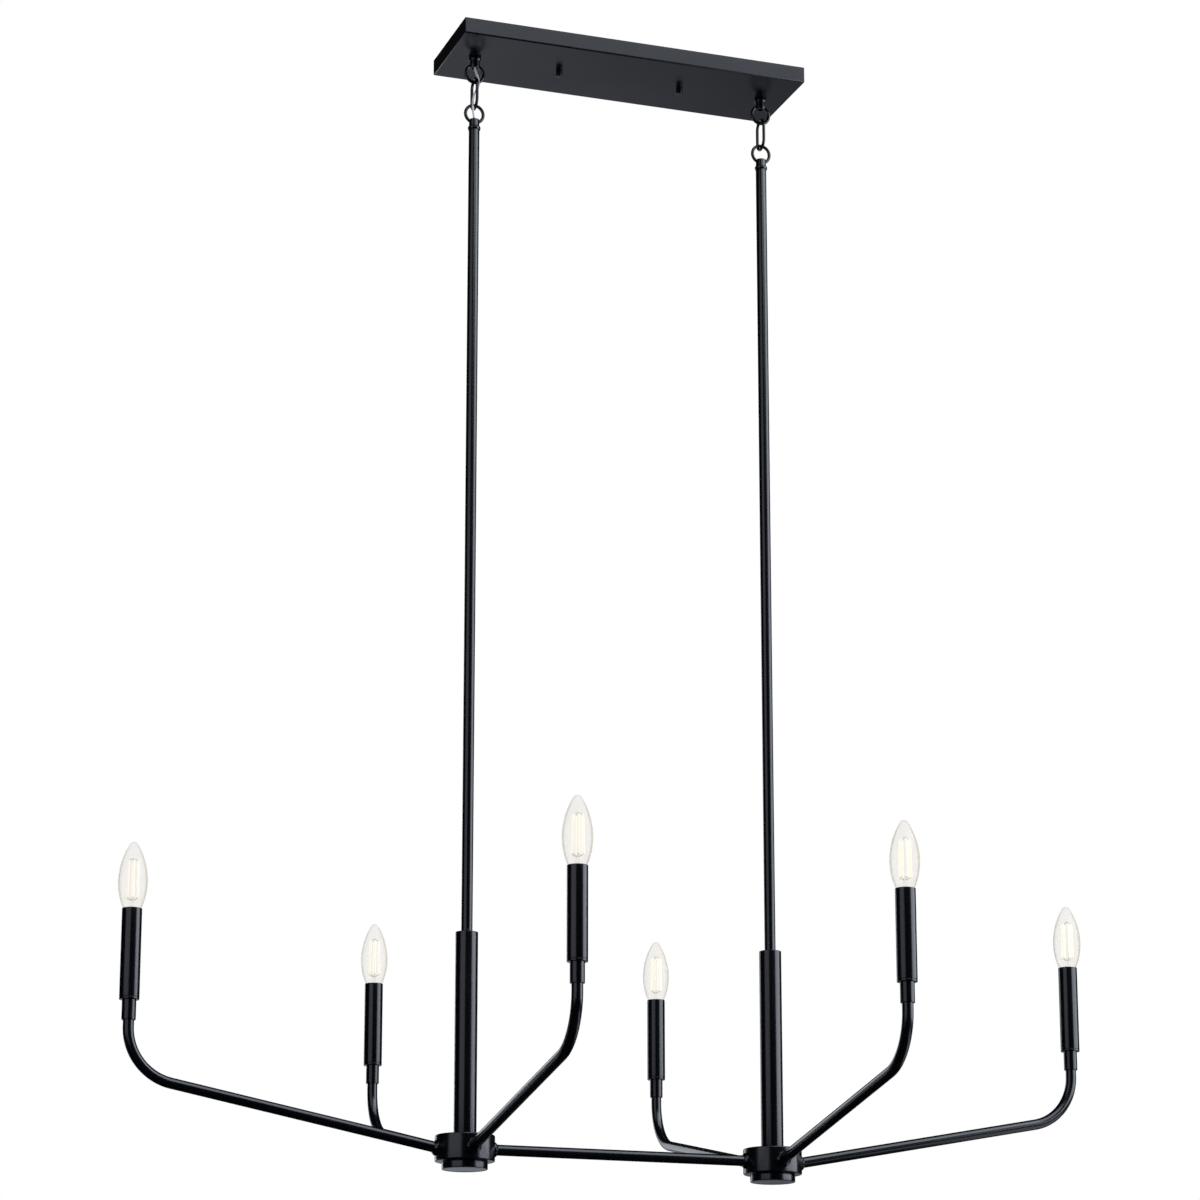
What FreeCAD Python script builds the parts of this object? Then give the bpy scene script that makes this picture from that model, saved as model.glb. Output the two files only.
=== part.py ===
import FreeCAD, Part
import math
import os
import Sketcher
from FreeCAD import Placement, Rotation, Vector

# Linear island pendant: a shallow rectangular canopy, two stems hung from it by rings and
# chain links, a column and a round hub at the foot of each stem, a bar between the hubs, and
# six upswept candle arms.
# Millimetres. Origin at the middle of the canopy's ceiling face, X along the canopy, +Z up.

SIZES = [
    ("canopy_length", 430.0, "canopy along X"),
    ("canopy_width", 130.0, "canopy along Y"),
    ("canopy_height", 19.5, "canopy depth below the ceiling"),
    ("canopy_sheet", 1.2, "canopy sheet"),
    ("stem_spacing", 366.0, "between the two stems"),
    ("stud_spacing", 154.0, "between the two canopy studs"),
    ("stud_outer", 4.0, "canopy stud thread"),
    ("stud_head_outer", 7.4, "canopy stud head"),
    ("stud_head_height", 2.2, "canopy stud head"),
    ("stud_past", 6.4, "stud length below the canopy"),
    ("stud_nut_flats", 7.0, "lock nut on a stud"),
    ("stud_nut_height", 3.0, "lock nut on a stud"),
    ("strap_width", 24.0, "mounting strap"),
    ("strap_sheet", 1.6, "mounting strap sheet"),
    ("strap_margin", 10.0, "strap beyond each stud"),
    ("strap_flat", 118.0, "strap's middle length, against the ceiling"),
    ("strap_step", 5.0, "drop of the strap's ends"),
    ("strap_slope", 5.0, "length of each step"),
    ("box_screw_spacing", 88.9, "outlet box screws"),
    ("box_slot_length", 22.0, "slot end to end"),
    ("box_slot_width", 4.8, "slot"),
    ("strap_hole", 12.0, "wire hole in the strap's middle"),
    ("ground_screw_x", 22.0, "ground screw from the middle"),
    ("ground_screw_outer", 3.5, "ground screw thread"),
    ("canopy_nut_outer", 8.2, "round nut under the canopy"),
    ("canopy_nut_height", 8.3, "round nut under the canopy"),
    ("ring_outer", 24.4, "suspension ring"),
    ("ring_wire", 3.2, "suspension ring wire"),
    ("seat_to_ring", 20.7, "loop seat to ring centre"),
    ("ring_to_mouth", 7.2, "ring centre to collar mouth"),
    ("collar_outer", 12.2, "loop collar"),
    ("bead_outer", 15.0, "bead round the collar"),
    ("bead_height", 4.6, "bead"),
    ("bead_round", 1.5, "bead edge"),
    ("loop_bore", 6.8, "wire way through a loop"),
    ("shank_outer", 9.8, "threaded shank of a loop"),
    ("shank_length", 8.8, "threaded shank of a loop"),
    ("loop_nut_flats", 16.0, "nut on a ceiling loop"),
    ("loop_nut_height", 5.4, "nut on a ceiling loop, flange included"),
    ("loop_flange_outer", 22.0, "flange of that nut"),
    ("loop_flange_height", 1.4, "flange of that nut"),
    ("link_wire", 3.0, "chain link wire"),
    ("link_length", 34.0, "chain link, inside"),
    ("link_width", 17.0, "chain link, inside"),
    ("link_play", 0.3, "gap between a link and a ring"),
    ("stem_outer", 12.7, "stem tube"),
    ("stem_wall", 1.2, "stem tube"),
    ("stem_length", 965.0, "stem tube"),
    ("column_outer", 25.4, "column tube"),
    ("column_wall", 1.5, "column tube"),
    ("column_length", 228.0, "column tube"),
    ("plug_height", 6.0, "plug in the column's top"),
    ("pipe_outer", 9.6, "threaded pipe inside the column"),
    ("pipe_bore", 6.6, "threaded pipe inside the column"),
    ("pipe_in_stem", 16.0, "pipe inside the stem's foot"),
    ("pipe_in_hub", 11.0, "pipe below the hub's roof"),
    ("pipe_nut_flats", 14.0, "nut on the pipe"),
    ("pipe_nut_height", 4.0, "nut on the pipe"),
    ("hub_outer", 66.7, "hub drum"),
    ("hub_height", 29.0, "hub drum"),
    ("hub_wall", 5.2, "hub drum"),
    ("hub_floor", 3.0, "hub drum's floor ring"),
    ("hub_round", 1.4, "hub drum's edges"),
    ("neck_outer", 46.6, "threaded neck under the hub"),
    ("neck_wall", 3.2, "threaded neck under the hub"),
    ("neck_height", 4.6, "threaded neck under the hub"),
    ("cap_outer", 51.0, "cap under the hub"),
    ("cap_height", 8.6, "cap under the hub"),
    ("cap_floor", 2.0, "cap under the hub"),
    ("cap_round", 0.6, "cap's edge"),
    ("tube_outer", 12.2, "arm and bar tube"),
    ("tube_wall", 1.2, "arm and bar tube"),
    ("tube_inside", 11.2, "tube end inside the hub's outer face"),
    ("tube_nut_flats", 16.0, "nut on an arm or bar"),
    ("tube_nut_height", 3.4, "nut on an arm or bar"),
    ("tube_nut_inside", 7.1, "nut face inside the hub's outer face"),
    ("flare_outer", 18.0, "flared collar at the hub"),
    ("flare_end", 14.4, "flared collar's outer end"),
    ("flare_length", 3.4, "flared collar beyond the hub"),
    ("arm_reach", 380.5, "hub axis to candle axis"),
    ("arm_rise", 10.8, "arm's slope, degrees"),
    ("arm_bend", 60.0, "centre-line radius of an arm's bend"),
    ("cup_rise", 123.3, "hub middle to a cup's foot"),
    ("cup_outer", 15.6, "cup under a candle"),
    ("cup_height", 22.0, "cup under a candle"),
    ("cup_socket", 14.0, "depth of the arm in the cup"),
    ("cup_bore", 6.6, "wire way through the cup"),
    ("cup_lip", 2.6, "lip that the sleeve stands on"),
    ("spigot_height", 5.0, "cup's spigot inside the sleeve"),
    ("sleeve_outer", 22.0, "candle sleeve"),
    ("sleeve_wall", 0.8, "candle sleeve"),
    ("sleeve_length", 97.4, "candle sleeve"),
    ("post_outer", 9.6, "lampholder post"),
    ("socket_outer", 17.0, "lampholder body"),
    ("socket_length", 33.0, "lampholder body"),
    ("socket_depth", 24.0, "lampholder bore"),
    ("socket_below", 14.2, "sleeve top to lampholder top"),
    ("bulb_outer", 33.5, "bulb"),
    ("bulb_above", 75.3, "bulb tip above the sleeve"),
    ("bulb_widest", 29.6, "widest height above the sleeve"),
    ("bulb_flank", 80.95, "radius of the bulb's upper outline"),
    ("bulb_glass_wall", 0.8, "bulb glass"),
    ("bulb_mouth", 19.9, "bulb at the sleeve's top"),
    ("bulb_neck", 16.0, "bulb neck"),
    ("bulb_neck_below", 9.0, "neck's foot below the sleeve's top"),
    ("base_outer", 11.8, "bulb's screw base"),
    ("base_length", 25.0, "bulb's base and tip contact"),
    ("filament_length", 38.0, "filament"),
    ("filament_width", 1.7, "filament"),
    ("filament_spread", 4.3, "bulb axis to filament"),
    ("filament_top_below", 19.0, "bulb tip to filament tops"),
    ("cord_outer", 2.6, "supply cord"),
    ("lead_outer", 2.4, "wires inside an arm"),
    ("wire_nut_outer", 10.0, "wire connector"),
    ("wire_nut_length", 17.0, "wire connector"),
    ("wire_nut_pitch", 13.0, "between wire connectors"),
    ("wire_outer", 1.0, "single wires in the canopy"),
    ("gap", 0.1, "clearance of a fitted piece, all round"),
]

doc = FreeCAD.newDocument("island_pendant")
sheet = doc.addObject("Spreadsheet::Sheet", "Sizes")
for row, (alias, value, words) in enumerate(SIZES, start=1):
    sheet.set(f"A{row}", alias)
    sheet.set(f"B{row}", str(value))
    sheet.set(f"C{row}", words)
    sheet.setAlias(f"B{row}", alias)
doc.recompute()

nodes = []


def number(expression):
    """The value of a sheet expression."""
    value = sheet.evalExpression(expression)
    return float(getattr(value, "Value", value))


# Heights, as expressions on the sheet's cells.
HALF = "Sizes.stem_spacing / 2"
CANOPY_FACE = "-Sizes.canopy_height"
CANOPY_FLOOR = f"({CANOPY_FACE} + Sizes.canopy_sheet)"
UPPER_RING = f"({CANOPY_FACE} - Sizes.seat_to_ring)"
RING_INNER = "(Sizes.ring_outer / 2 - Sizes.ring_wire)"
LINK_MIDDLE = f"({UPPER_RING} - {RING_INNER} + Sizes.link_play - Sizes.link_length / 2)"
LOWER_RING = f"({LINK_MIDDLE} - Sizes.link_length / 2 + Sizes.link_play - {RING_INNER})"
STEM_TOP = f"({LOWER_RING} - Sizes.seat_to_ring)"
COLUMN_TOP = f"({STEM_TOP} - Sizes.stem_length)"
HUB_TOP = f"({COLUMN_TOP} - Sizes.column_length)"
HUB_MIDDLE = f"({HUB_TOP} - Sizes.hub_height / 2)"
HUB_FOOT = f"({HUB_TOP} - Sizes.hub_height)"
HUB_ROOF = f"({HUB_TOP} - Sizes.hub_wall)"
CUP_FOOT = f"({HUB_MIDDLE} + Sizes.cup_rise)"
CUP_TOP = f"({CUP_FOOT} + Sizes.cup_height)"
SLEEVE_FOOT = f"({CUP_TOP} + Sizes.cup_lip)"
SLEEVE_TOP = f"({SLEEVE_FOOT} + Sizes.sleeve_length)"
SOCKET_TOP = f"({SLEEVE_TOP} - Sizes.socket_below)"
STRAP_END = "(-Sizes.strap_step - Sizes.strap_sheet)"

SIDES = {"left": -1, "right": 1}
HEADINGS = {"end": 0, "front": -90, "back": 90}
ARMS = [(side, place) for side in SIDES for place in HEADINGS]


def keep(item, label):
    """Marks an object as one named sub-part."""
    item.Label = label
    nodes.append(item)
    return item


def origin_plane(body, role):
    for feature in body.Origin.OriginFeatures:
        if feature.Role == role:
            return feature


def new_sketch(body, name, role):
    drawing = body.newObject("Sketcher::SketchObject", name)
    drawing.AttachmentSupport = [(origin_plane(body, role), "")]
    drawing.MapMode = "FlatFace"
    return drawing


def bind(drawing, kind, args, expression):
    """Adds a dimension and ties it to an expression on the sheet."""
    index = drawing.addConstraint(Sketcher.Constraint(kind, *args, number(expression)))
    drawing.setExpression(f"Constraints[{index}]", expression)


def outline(drawing, steps, closed=True):
    """Draws a chain of edges. A step is (x, y), or (x, y, radius) where the edge that leaves
    it is an arc, and the radius is below zero where the arc turns clockwise. A half circle
    is held by its centre."""
    points = [Vector(number(step[0]), number(step[1]), 0) for step in steps]
    count = len(steps) if closed else len(steps) - 1
    first = drawing.GeometryCount
    ends = []
    for index in range(count):
        start = points[index]
        end = points[(index + 1) % len(points)]
        if len(steps[index]) == 2:
            drawing.addGeometry(Part.LineSegment(start, end), False)
            ends.append((1, 2))
            continue
        radius = number(steps[index][2])
        half = (end - start) * 0.5
        rise = math.sqrt(max(radius * radius - half.Length ** 2, 0.0))
        side = Vector(-half.y, half.x, 0).normalize() * math.copysign(rise, radius)
        centre = start + half + side
        circle = Part.Circle(centre, Vector(0, 0, 1), abs(radius))
        low, high = (start, end) if radius > 0 else (end, start)
        low_angle = math.atan2(low.y - centre.y, low.x - centre.x)
        high_angle = math.atan2(high.y - centre.y, high.x - centre.x)
        if high_angle < low_angle:
            high_angle += 2 * math.pi
        drawing.addGeometry(Part.ArcOfCircle(circle, low_angle, high_angle), False)
        ends.append((1, 2) if radius > 0 else (2, 1))
    for index in range(count):
        if closed or index < count - 1:
            after = (index + 1) % count
            joint = ("Coincident", first + index, ends[index][1], first + after, ends[after][0])
            drawing.addConstraint(Sketcher.Constraint(*joint))
    for index, step in enumerate(steps):
        edge = min(index, count - 1)
        corner = ends[edge][0] if index < count else ends[edge][1]
        bind(drawing, "DistanceX", (-1, 1, first + edge, corner), step[0])
        bind(drawing, "DistanceY", (-1, 1, first + edge, corner), step[1])
        if len(step) == 2:
            continue
        chord = points[(index + 1) % len(points)] - points[index]
        if abs(chord.Length - 2 * abs(number(step[2]))) > 0.001:
            size = step[2] if number(step[2]) > 0 else f"-({step[2]})"
            bind(drawing, "Radius", (first + index,), size)
        elif abs(chord.x) < 0.001:
            bind(drawing, "DistanceX", (-1, 1, first + index, 3), step[0])
        else:
            bind(drawing, "DistanceY", (-1, 1, first + index, 3), step[1])


def circle(drawing, x, y, radius):
    centre = Vector(number(x), number(y), 0)
    index = drawing.addGeometry(Part.Circle(centre, Vector(0, 0, 1), number(radius)), False)
    bind(drawing, "DistanceX", (-1, 1, index, 3), x)
    bind(drawing, "DistanceY", (-1, 1, index, 3), y)
    bind(drawing, "Radius", (index,), radius)


def turned(name, steps):
    """A body turned about the vertical axis from an outline of (radius, height) steps."""
    body = doc.addObject("PartDesign::Body", name)
    drawing = new_sketch(body, f"{name}_outline", "XZ_Plane")
    outline(drawing, steps)
    turn = body.newObject("PartDesign::Revolution", f"{name}_turn")
    turn.Profile = drawing
    turn.ReferenceAxis = (drawing, ["V_Axis"])
    turn.Angle = 360
    drawing.Visibility = False
    return body


def tube(name, outer, bore, low, high):
    """A turned tube between two heights."""
    steps = [(bore, low), (outer, low), (outer, high), (bore, high)]
    return turned(name, steps)


def at(body, x, y, z, turn=0):
    """Seats a body at a place given by sheet expressions, turned about its own vertical."""
    body.Placement = Placement(Vector(0, 0, 0), Rotation(Vector(0, 0, 1), turn))
    body.setExpression("Placement.Base.x", x)
    body.setExpression("Placement.Base.y", y)
    body.setExpression("Placement.Base.z", z)
    return body


def group(master, label, places):
    """One node of separate copies of a master piece, each at its own placement."""
    doc.recompute()
    copies = []
    for place in places:
        copy = master.Shape.copy()
        copy.Placement = place.multiply(copy.Placement)
        copies.append(copy)
    cluster = doc.addObject("Part::Feature", label)
    cluster.Shape = Part.makeCompound(copies)
    master.Label = f"{label}_master"
    return keep(cluster, label)


def stem_x(side):
    return f"{SIDES[side]} * {HALF}"


def heading(side, place):
    """An arm's compass angle: end arms point away from the middle of the fixture."""
    outward = 180 if side == "left" else 0
    return outward + HEADINGS[place] * (1 if side == "right" else -1)


def upright(x, y, z):
    return Placement(Vector(x, y, z), Rotation())


def hex_nut(name, flats, height, bore):
    """A plain hexagon nut standing on the origin."""
    body = doc.addObject("PartDesign::Body", name)
    drawing = new_sketch(body, f"{name}_outline", "XY_Plane")
    corner = f"({flats} / sqrt(3))"
    steps = []
    for index in range(6):
        steps.append((f"{corner} * cos({60 * index})", f"{corner} * sin({60 * index})"))
    outline(drawing, steps)
    circle(drawing, "0", "0", bore)
    pad = body.newObject("PartDesign::Pad", f"{name}_pad")
    pad.Profile = drawing
    pad.setExpression("Length", height)
    return body


# The canopy: an open pan with two holes for the loops and two for the studs.

def rectangle(drawing, half_x, half_y):
    steps = [(f"-({half_x})", f"-({half_y})"), (half_x, f"-({half_y})")]
    steps += [(half_x, half_y), (f"-({half_x})", half_y)]
    outline(drawing, steps)


def make_canopy():
    body = doc.addObject("PartDesign::Body", "Canopy")
    outside = new_sketch(body, "Canopy_outside", "XY_Plane")
    rectangle(outside, "Sizes.canopy_length / 2", "Sizes.canopy_width / 2")
    block = body.newObject("PartDesign::Pad", "Canopy_block")
    block.Profile = outside
    block.Reversed = True
    block.setExpression("Length", "Sizes.canopy_height")
    inside = new_sketch(body, "Canopy_inside", "XY_Plane")
    wall = "Sizes.canopy_sheet"
    rectangle(inside, f"Sizes.canopy_length / 2 - {wall}", f"Sizes.canopy_width / 2 - {wall}")
    hollow = body.newObject("PartDesign::Pocket", "Canopy_hollow")
    hollow.Profile = inside
    hollow.setExpression("Length", "Sizes.canopy_height - Sizes.canopy_sheet")
    holes = new_sketch(body, "Canopy_holes", "XY_Plane")
    for sign in SIDES.values():
        circle(holes, f"{sign} * {HALF}", "0", "Sizes.shank_outer / 2 + Sizes.gap")
        circle(holes, f"{sign} * Sizes.stud_spacing / 2", "0", "Sizes.stud_outer / 2 + Sizes.gap")
    drill = body.newObject("PartDesign::Pocket", "Canopy_drill")
    drill.Profile = holes
    drill.setExpression("Length", "Sizes.canopy_height * 2")
    keep(body, "canopy")


# The mounting strap: a joggled steel strip, flat on the ceiling in its middle, with its ends
# dropped so that the studs' heads clear the ceiling.

def make_strap():
    body = doc.addObject("PartDesign::Body", "Strap")
    edge = new_sketch(body, "Strap_edge", "XZ_Plane")
    sheet_size = "Sizes.strap_sheet"
    end = "(Sizes.stud_spacing / 2 + Sizes.strap_margin)"
    flat = "(Sizes.strap_flat / 2)"
    step = f"({flat} + Sizes.strap_slope)"
    low = "(-Sizes.strap_step)"
    top = [(f"-{end}", low), (f"-{step}", low), (f"-{flat}", "0")]
    top += [(flat, "0"), (step, low), (end, low)]
    under = [(x, f"{z} - {sheet_size}") for x, z in reversed(top)]
    outline(edge, top + under)
    strip = body.newObject("PartDesign::Pad", "Strap_strip")
    strip.Profile = edge
    strip.Midplane = True
    strip.setExpression("Length", "Sizes.strap_width")
    holes = new_sketch(body, "Strap_holes", "XY_Plane")
    circle(holes, "0", "0", "Sizes.strap_hole / 2")
    circle(holes, "-Sizes.ground_screw_x", "0", "Sizes.ground_screw_outer / 2 + Sizes.gap")
    half_slot = "((Sizes.box_slot_length - Sizes.box_slot_width) / 2)"
    slot_round = "Sizes.box_slot_width / 2"
    for sign in SIDES.values():
        stud = f"{sign} * Sizes.stud_spacing / 2"
        circle(holes, stud, "0", "Sizes.stud_outer / 2 + Sizes.gap")
        middle = f"{sign} * Sizes.box_screw_spacing / 2"
        steps = [(f"{middle} - {half_slot}", f"-{slot_round}")]
        steps += [(f"{middle} + {half_slot}", f"-{slot_round}", slot_round)]
        steps += [(f"{middle} + {half_slot}", slot_round)]
        steps += [(f"{middle} - {half_slot}", slot_round, slot_round)]
        outline(holes, steps)
    punch = body.newObject("PartDesign::Pocket", "Strap_punch")
    punch.Profile = holes
    punch.setExpression("Length", "Sizes.canopy_height")
    keep(body, "mounting_strap")


def make_ground_screw():
    thread = "Sizes.ground_screw_outer / 2"
    head = f"({thread} * 2)"
    under = "(-Sizes.strap_sheet)"
    steps = [("0", "0"), ("0", f"{under} - 2.4"), (f"{head} - 0.6", f"{under} - 2.4")]
    steps += [(head, f"{under} - 1.8"), (head, under), (thread, under), (thread, "0")]
    screw = turned("GroundScrew", steps)
    at(screw, "-Sizes.ground_screw_x", "0", "0")
    keep(screw, "ground_screw")


# What holds the canopy to the strap: two studs with heads, their lock nuts under the strap,
# and two round blind nuts that show under the canopy.

def make_stud_set():
    spots = []
    for sign in SIDES.values():
        spots.append(sign * number("Sizes.stud_spacing / 2"))
    thread = "Sizes.stud_outer / 2"
    head = "Sizes.stud_head_outer / 2"
    seat = "(-Sizes.strap_step)"
    head_top = f"({seat} + Sizes.stud_head_height)"
    foot = f"({CANOPY_FACE} - Sizes.stud_past)"
    steps = [("0", foot), (thread, foot), (thread, seat), (head, seat), (head, head_top)]
    stud = turned("Stud", steps + [("0", head_top)])
    group(stud, "canopy_studs", [upright(x, 0, 0) for x in spots])
    nut = hex_nut("StudNut", "Sizes.stud_nut_flats", "Sizes.stud_nut_height",
                  "Sizes.stud_outer / 2 + 0.05")
    low = number(f"{STRAP_END} - Sizes.stud_nut_height")
    group(nut, "stud_nuts", [upright(x, 0, low) for x in spots])
    outer = "Sizes.canopy_nut_outer / 2"
    bore = "(Sizes.stud_outer / 2 + 0.05)"
    low = f"({CANOPY_FACE} - Sizes.canopy_nut_height)"
    blind = f"({CANOPY_FACE} - Sizes.stud_past - 0.3)"
    steps = [("0", low), (f"{outer} - 0.8", low), (outer, f"{low} + 0.8")]
    steps += [(outer, CANOPY_FACE), (bore, CANOPY_FACE), (bore, blind), ("0", blind)]
    cap = turned("CanopyNut", steps)
    group(cap, "canopy_nuts", [upright(x, 0, 0) for x in spots])


# A suspension loop: a ring of round wire brazed on a short collar, a bead at its seat, and a
# hollow threaded shank. It hangs below its seat, and the stem's loop is the same piece
# turned over. The wire way cuts the ring open inside the collar.

def make_loop(name, label, side, seat, over):
    body = doc.addObject("PartDesign::Body", name)
    ring = body.newObject("PartDesign::AdditiveTorus", f"{name}_ring")
    ring.AttachmentSupport = [(origin_plane(body, "XZ_Plane"), "")]
    ring.MapMode = "FlatFace"
    ring.setExpression("Radius1", "(Sizes.ring_outer - Sizes.ring_wire) / 2")
    ring.setExpression("Radius2", "Sizes.ring_wire / 2")
    ring.setExpression("AttachmentOffset.Base.y", "-Sizes.seat_to_ring")
    collar = new_sketch(body, f"{name}_collar_outline", "XZ_Plane")
    mouth = "(-Sizes.seat_to_ring + Sizes.ring_to_mouth)"
    shank = "Sizes.shank_outer / 2"
    bead = "Sizes.bead_outer / 2"
    bead_flat = f"({bead} - Sizes.bead_round)"
    bead_low = "(-Sizes.bead_height)"
    round_off = "Sizes.bead_round"
    wall = "Sizes.collar_outer / 2"
    steps = [("0", mouth), (f"{wall} - 0.5", mouth), (wall, f"{mouth} + 0.5")]
    steps += [(wall, bead_low), (bead_flat, bead_low, round_off)]
    steps += [(bead, f"{bead_low} + {round_off}"), (bead, f"-{round_off}", round_off)]
    steps += [(bead_flat, "0"), (shank, "0"), (shank, "Sizes.shank_length")]
    outline(collar, steps + [("0", "Sizes.shank_length")])
    turn = body.newObject("PartDesign::Revolution", f"{name}_collar")
    turn.Profile = collar
    turn.ReferenceAxis = (collar, ["V_Axis"])
    turn.Angle = 360
    way = new_sketch(body, f"{name}_wire_way", "XY_Plane")
    circle(way, "0", "0", "Sizes.loop_bore / 2")
    bore = body.newObject("PartDesign::Pocket", f"{name}_bore")
    bore.Profile = way
    bore.Midplane = True
    reach = "Sizes.seat_to_ring + Sizes.ring_wire - Sizes.ring_to_mouth + Sizes.shank_length"
    bore.setExpression("Length", f"2 * ({reach} - Sizes.shank_length + 2)")
    body.Placement = Placement(Vector(0, 0, 0), Rotation(Vector(1, 0, 0), 180 if over else 0))
    body.setExpression("Placement.Base.x", stem_x(side))
    body.setExpression("Placement.Base.z", seat)
    keep(body, label)


def make_loop_nuts():
    """Flanged nuts that hold the two ceiling loops from inside the canopy."""
    spots = [sign * number(HALF) for sign in SIDES.values()]
    hole = "Sizes.shank_outer / 2 + 0.05"
    nut = hex_nut("LoopNut", "Sizes.loop_nut_flats", "Sizes.loop_nut_height", hole)
    rim = new_sketch(nut, "LoopNut_rim", "XY_Plane")
    circle(rim, "0", "0", "Sizes.loop_flange_outer / 2")
    circle(rim, "0", "0", hole)
    flange = nut.newObject("PartDesign::Pad", "LoopNut_flange")
    flange.Profile = rim
    flange.setExpression("Length", "Sizes.loop_flange_height")
    group(nut, "loop_nuts", [upright(x, 0, number(CANOPY_FLOOR)) for x in spots])


# A chain link: round wire bent to an oval in the Y-Z plane, standing square to the rings.

def make_link(side):
    name = f"Link_{side}"
    body = doc.addObject("PartDesign::Body", name)
    rail = "((Sizes.link_width + Sizes.link_wire) / 2)"
    straight = "((Sizes.link_length - Sizes.link_width) / 2)"
    path = new_sketch(body, f"{name}_path", "YZ_Plane")
    steps = [(rail, f"-{straight}"), (rail, straight, rail)]
    outline(path, steps + [(f"-{rail}", straight), (f"-{rail}", f"-{straight}", rail)])
    section = new_sketch(body, f"{name}_section", "XY_Plane")
    circle(section, "0", rail, "Sizes.link_wire / 2")
    sweep = body.newObject("PartDesign::AdditivePipe", f"{name}_sweep")
    sweep.Profile = section
    sweep.Spine = path
    at(body, stem_x(side), "0", LINK_MIDDLE)
    keep(body, f"chain_link_{side}")


# The stems, the columns and the threaded pipe that ties each stem to its hub.

def make_stem(side):
    outer = "Sizes.stem_outer / 2"
    bore = "Sizes.stem_outer / 2 - Sizes.stem_wall"
    body = tube(f"Stem_{side}", outer, bore, COLUMN_TOP, STEM_TOP)
    at(body, stem_x(side), "0", "0")
    keep(body, f"stem_{side}")


def make_column(side):
    outer = "Sizes.column_outer / 2"
    bore = "Sizes.column_outer / 2 - Sizes.column_wall"
    body = tube(f"Column_{side}", outer, bore, HUB_TOP, COLUMN_TOP)
    at(body, stem_x(side), "0", "0")
    keep(body, f"column_{side}")


def make_column_inside():
    axes = [upright(sign * number(HALF), 0, 0) for sign in SIDES.values()]
    outer = "Sizes.column_outer / 2 - Sizes.column_wall"
    hole = "Sizes.pipe_outer / 2 + 0.05"
    plug = tube("Plug", outer, hole, f"{COLUMN_TOP} - Sizes.plug_height", COLUMN_TOP)
    group(plug, "column_plugs", axes)
    pipe_top = f"{COLUMN_TOP} + Sizes.pipe_in_stem"
    pipe_foot = f"{HUB_ROOF} - Sizes.pipe_in_hub"
    pipe = tube("Pipe", "Sizes.pipe_outer / 2", "Sizes.pipe_bore / 2", pipe_foot, pipe_top)
    group(pipe, "centre_pipes", axes)
    nut = hex_nut("PipeNut", "Sizes.pipe_nut_flats", "Sizes.pipe_nut_height", hole)
    places = []
    under_plug = number(f"{COLUMN_TOP} - Sizes.plug_height - Sizes.pipe_nut_height")
    under_roof = number(f"{HUB_ROOF} - Sizes.pipe_nut_height")
    for sign in SIDES.values():
        for height in (under_plug, under_roof):
            places.append(upright(sign * number(HALF), 0, height))
    group(nut, "pipe_nuts", places)


# A hub: a turned drum with a floor ring and a threaded neck, and four ports, three tilted
# for the arms and a level one for the bar. In its own frame the bar's port faces -X.

def tube_axis(place):
    """Where a tube's centre-line leaves the hub axis, and its direction, in the hub's frame.
    It crosses the drum's face at the drum's middle height."""
    if place == "bar":
        return Vector(0, 0, number(HUB_MIDDLE)), Vector(-1, 0, 0)
    rise = number("Sizes.arm_rise")
    turn = math.radians(HEADINGS[place])
    flat = math.cos(math.radians(rise))
    direction = Vector(flat * math.cos(turn), flat * math.sin(turn), math.sin(math.radians(rise)))
    drop = number("Sizes.hub_outer / 2") * math.tan(math.radians(rise))
    return Vector(0, 0, number(HUB_MIDDLE) - drop), direction


def along(place, distance):
    """A placement whose own vertical lies along a tube, at a distance out from the hub axis."""
    start, direction = tube_axis(place)
    flat = math.hypot(direction.x, direction.y)
    point = start + direction * (distance / flat)
    return Placement(point, Rotation(Vector(0, 0, 1), direction))


def hub_frame(side):
    turn = 0 if side == "right" else 180
    spot = Vector(number(stem_x(side)), 0, 0)
    return Placement(spot, Rotation(Vector(0, 0, 1), turn))


PORTS = ["bar", "end", "front", "back"]


def make_hub(side):
    name = f"Hub_{side}"
    outer = "Sizes.hub_outer / 2"
    inner = f"({outer} - Sizes.hub_wall)"
    edge = "Sizes.hub_round"
    neck = "(Sizes.neck_outer / 2)"
    opening = f"({neck} - Sizes.neck_wall)"
    neck_foot = f"({HUB_FOOT} - Sizes.neck_height)"
    floor = f"({HUB_FOOT} + Sizes.hub_floor)"
    hole = "Sizes.pipe_outer / 2 + 0.05"
    steps = [(hole, HUB_ROOF), (inner, HUB_ROOF), (inner, floor), (opening, floor)]
    steps += [(opening, neck_foot), (neck, neck_foot), (neck, HUB_FOOT)]
    steps += [(f"{outer} - {edge}", HUB_FOOT, edge), (outer, f"{HUB_FOOT} + {edge}")]
    steps += [(outer, f"{HUB_TOP} - {edge}", edge), (f"{outer} - {edge}", HUB_TOP)]
    body = turned(name, steps + [(hole, HUB_TOP)])
    for place in PORTS:
        port = body.newObject("PartDesign::SubtractiveCylinder", f"{name}_port_{place}")
        port.setExpression("Radius", "Sizes.tube_outer / 2 + Sizes.gap")
        port.setExpression("Height", "Sizes.hub_wall + 8")
        port.Placement = along(place, number(f"{inner} - 4"))
    body.Placement = hub_frame(side)
    keep(body, f"hub_{side}")


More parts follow.
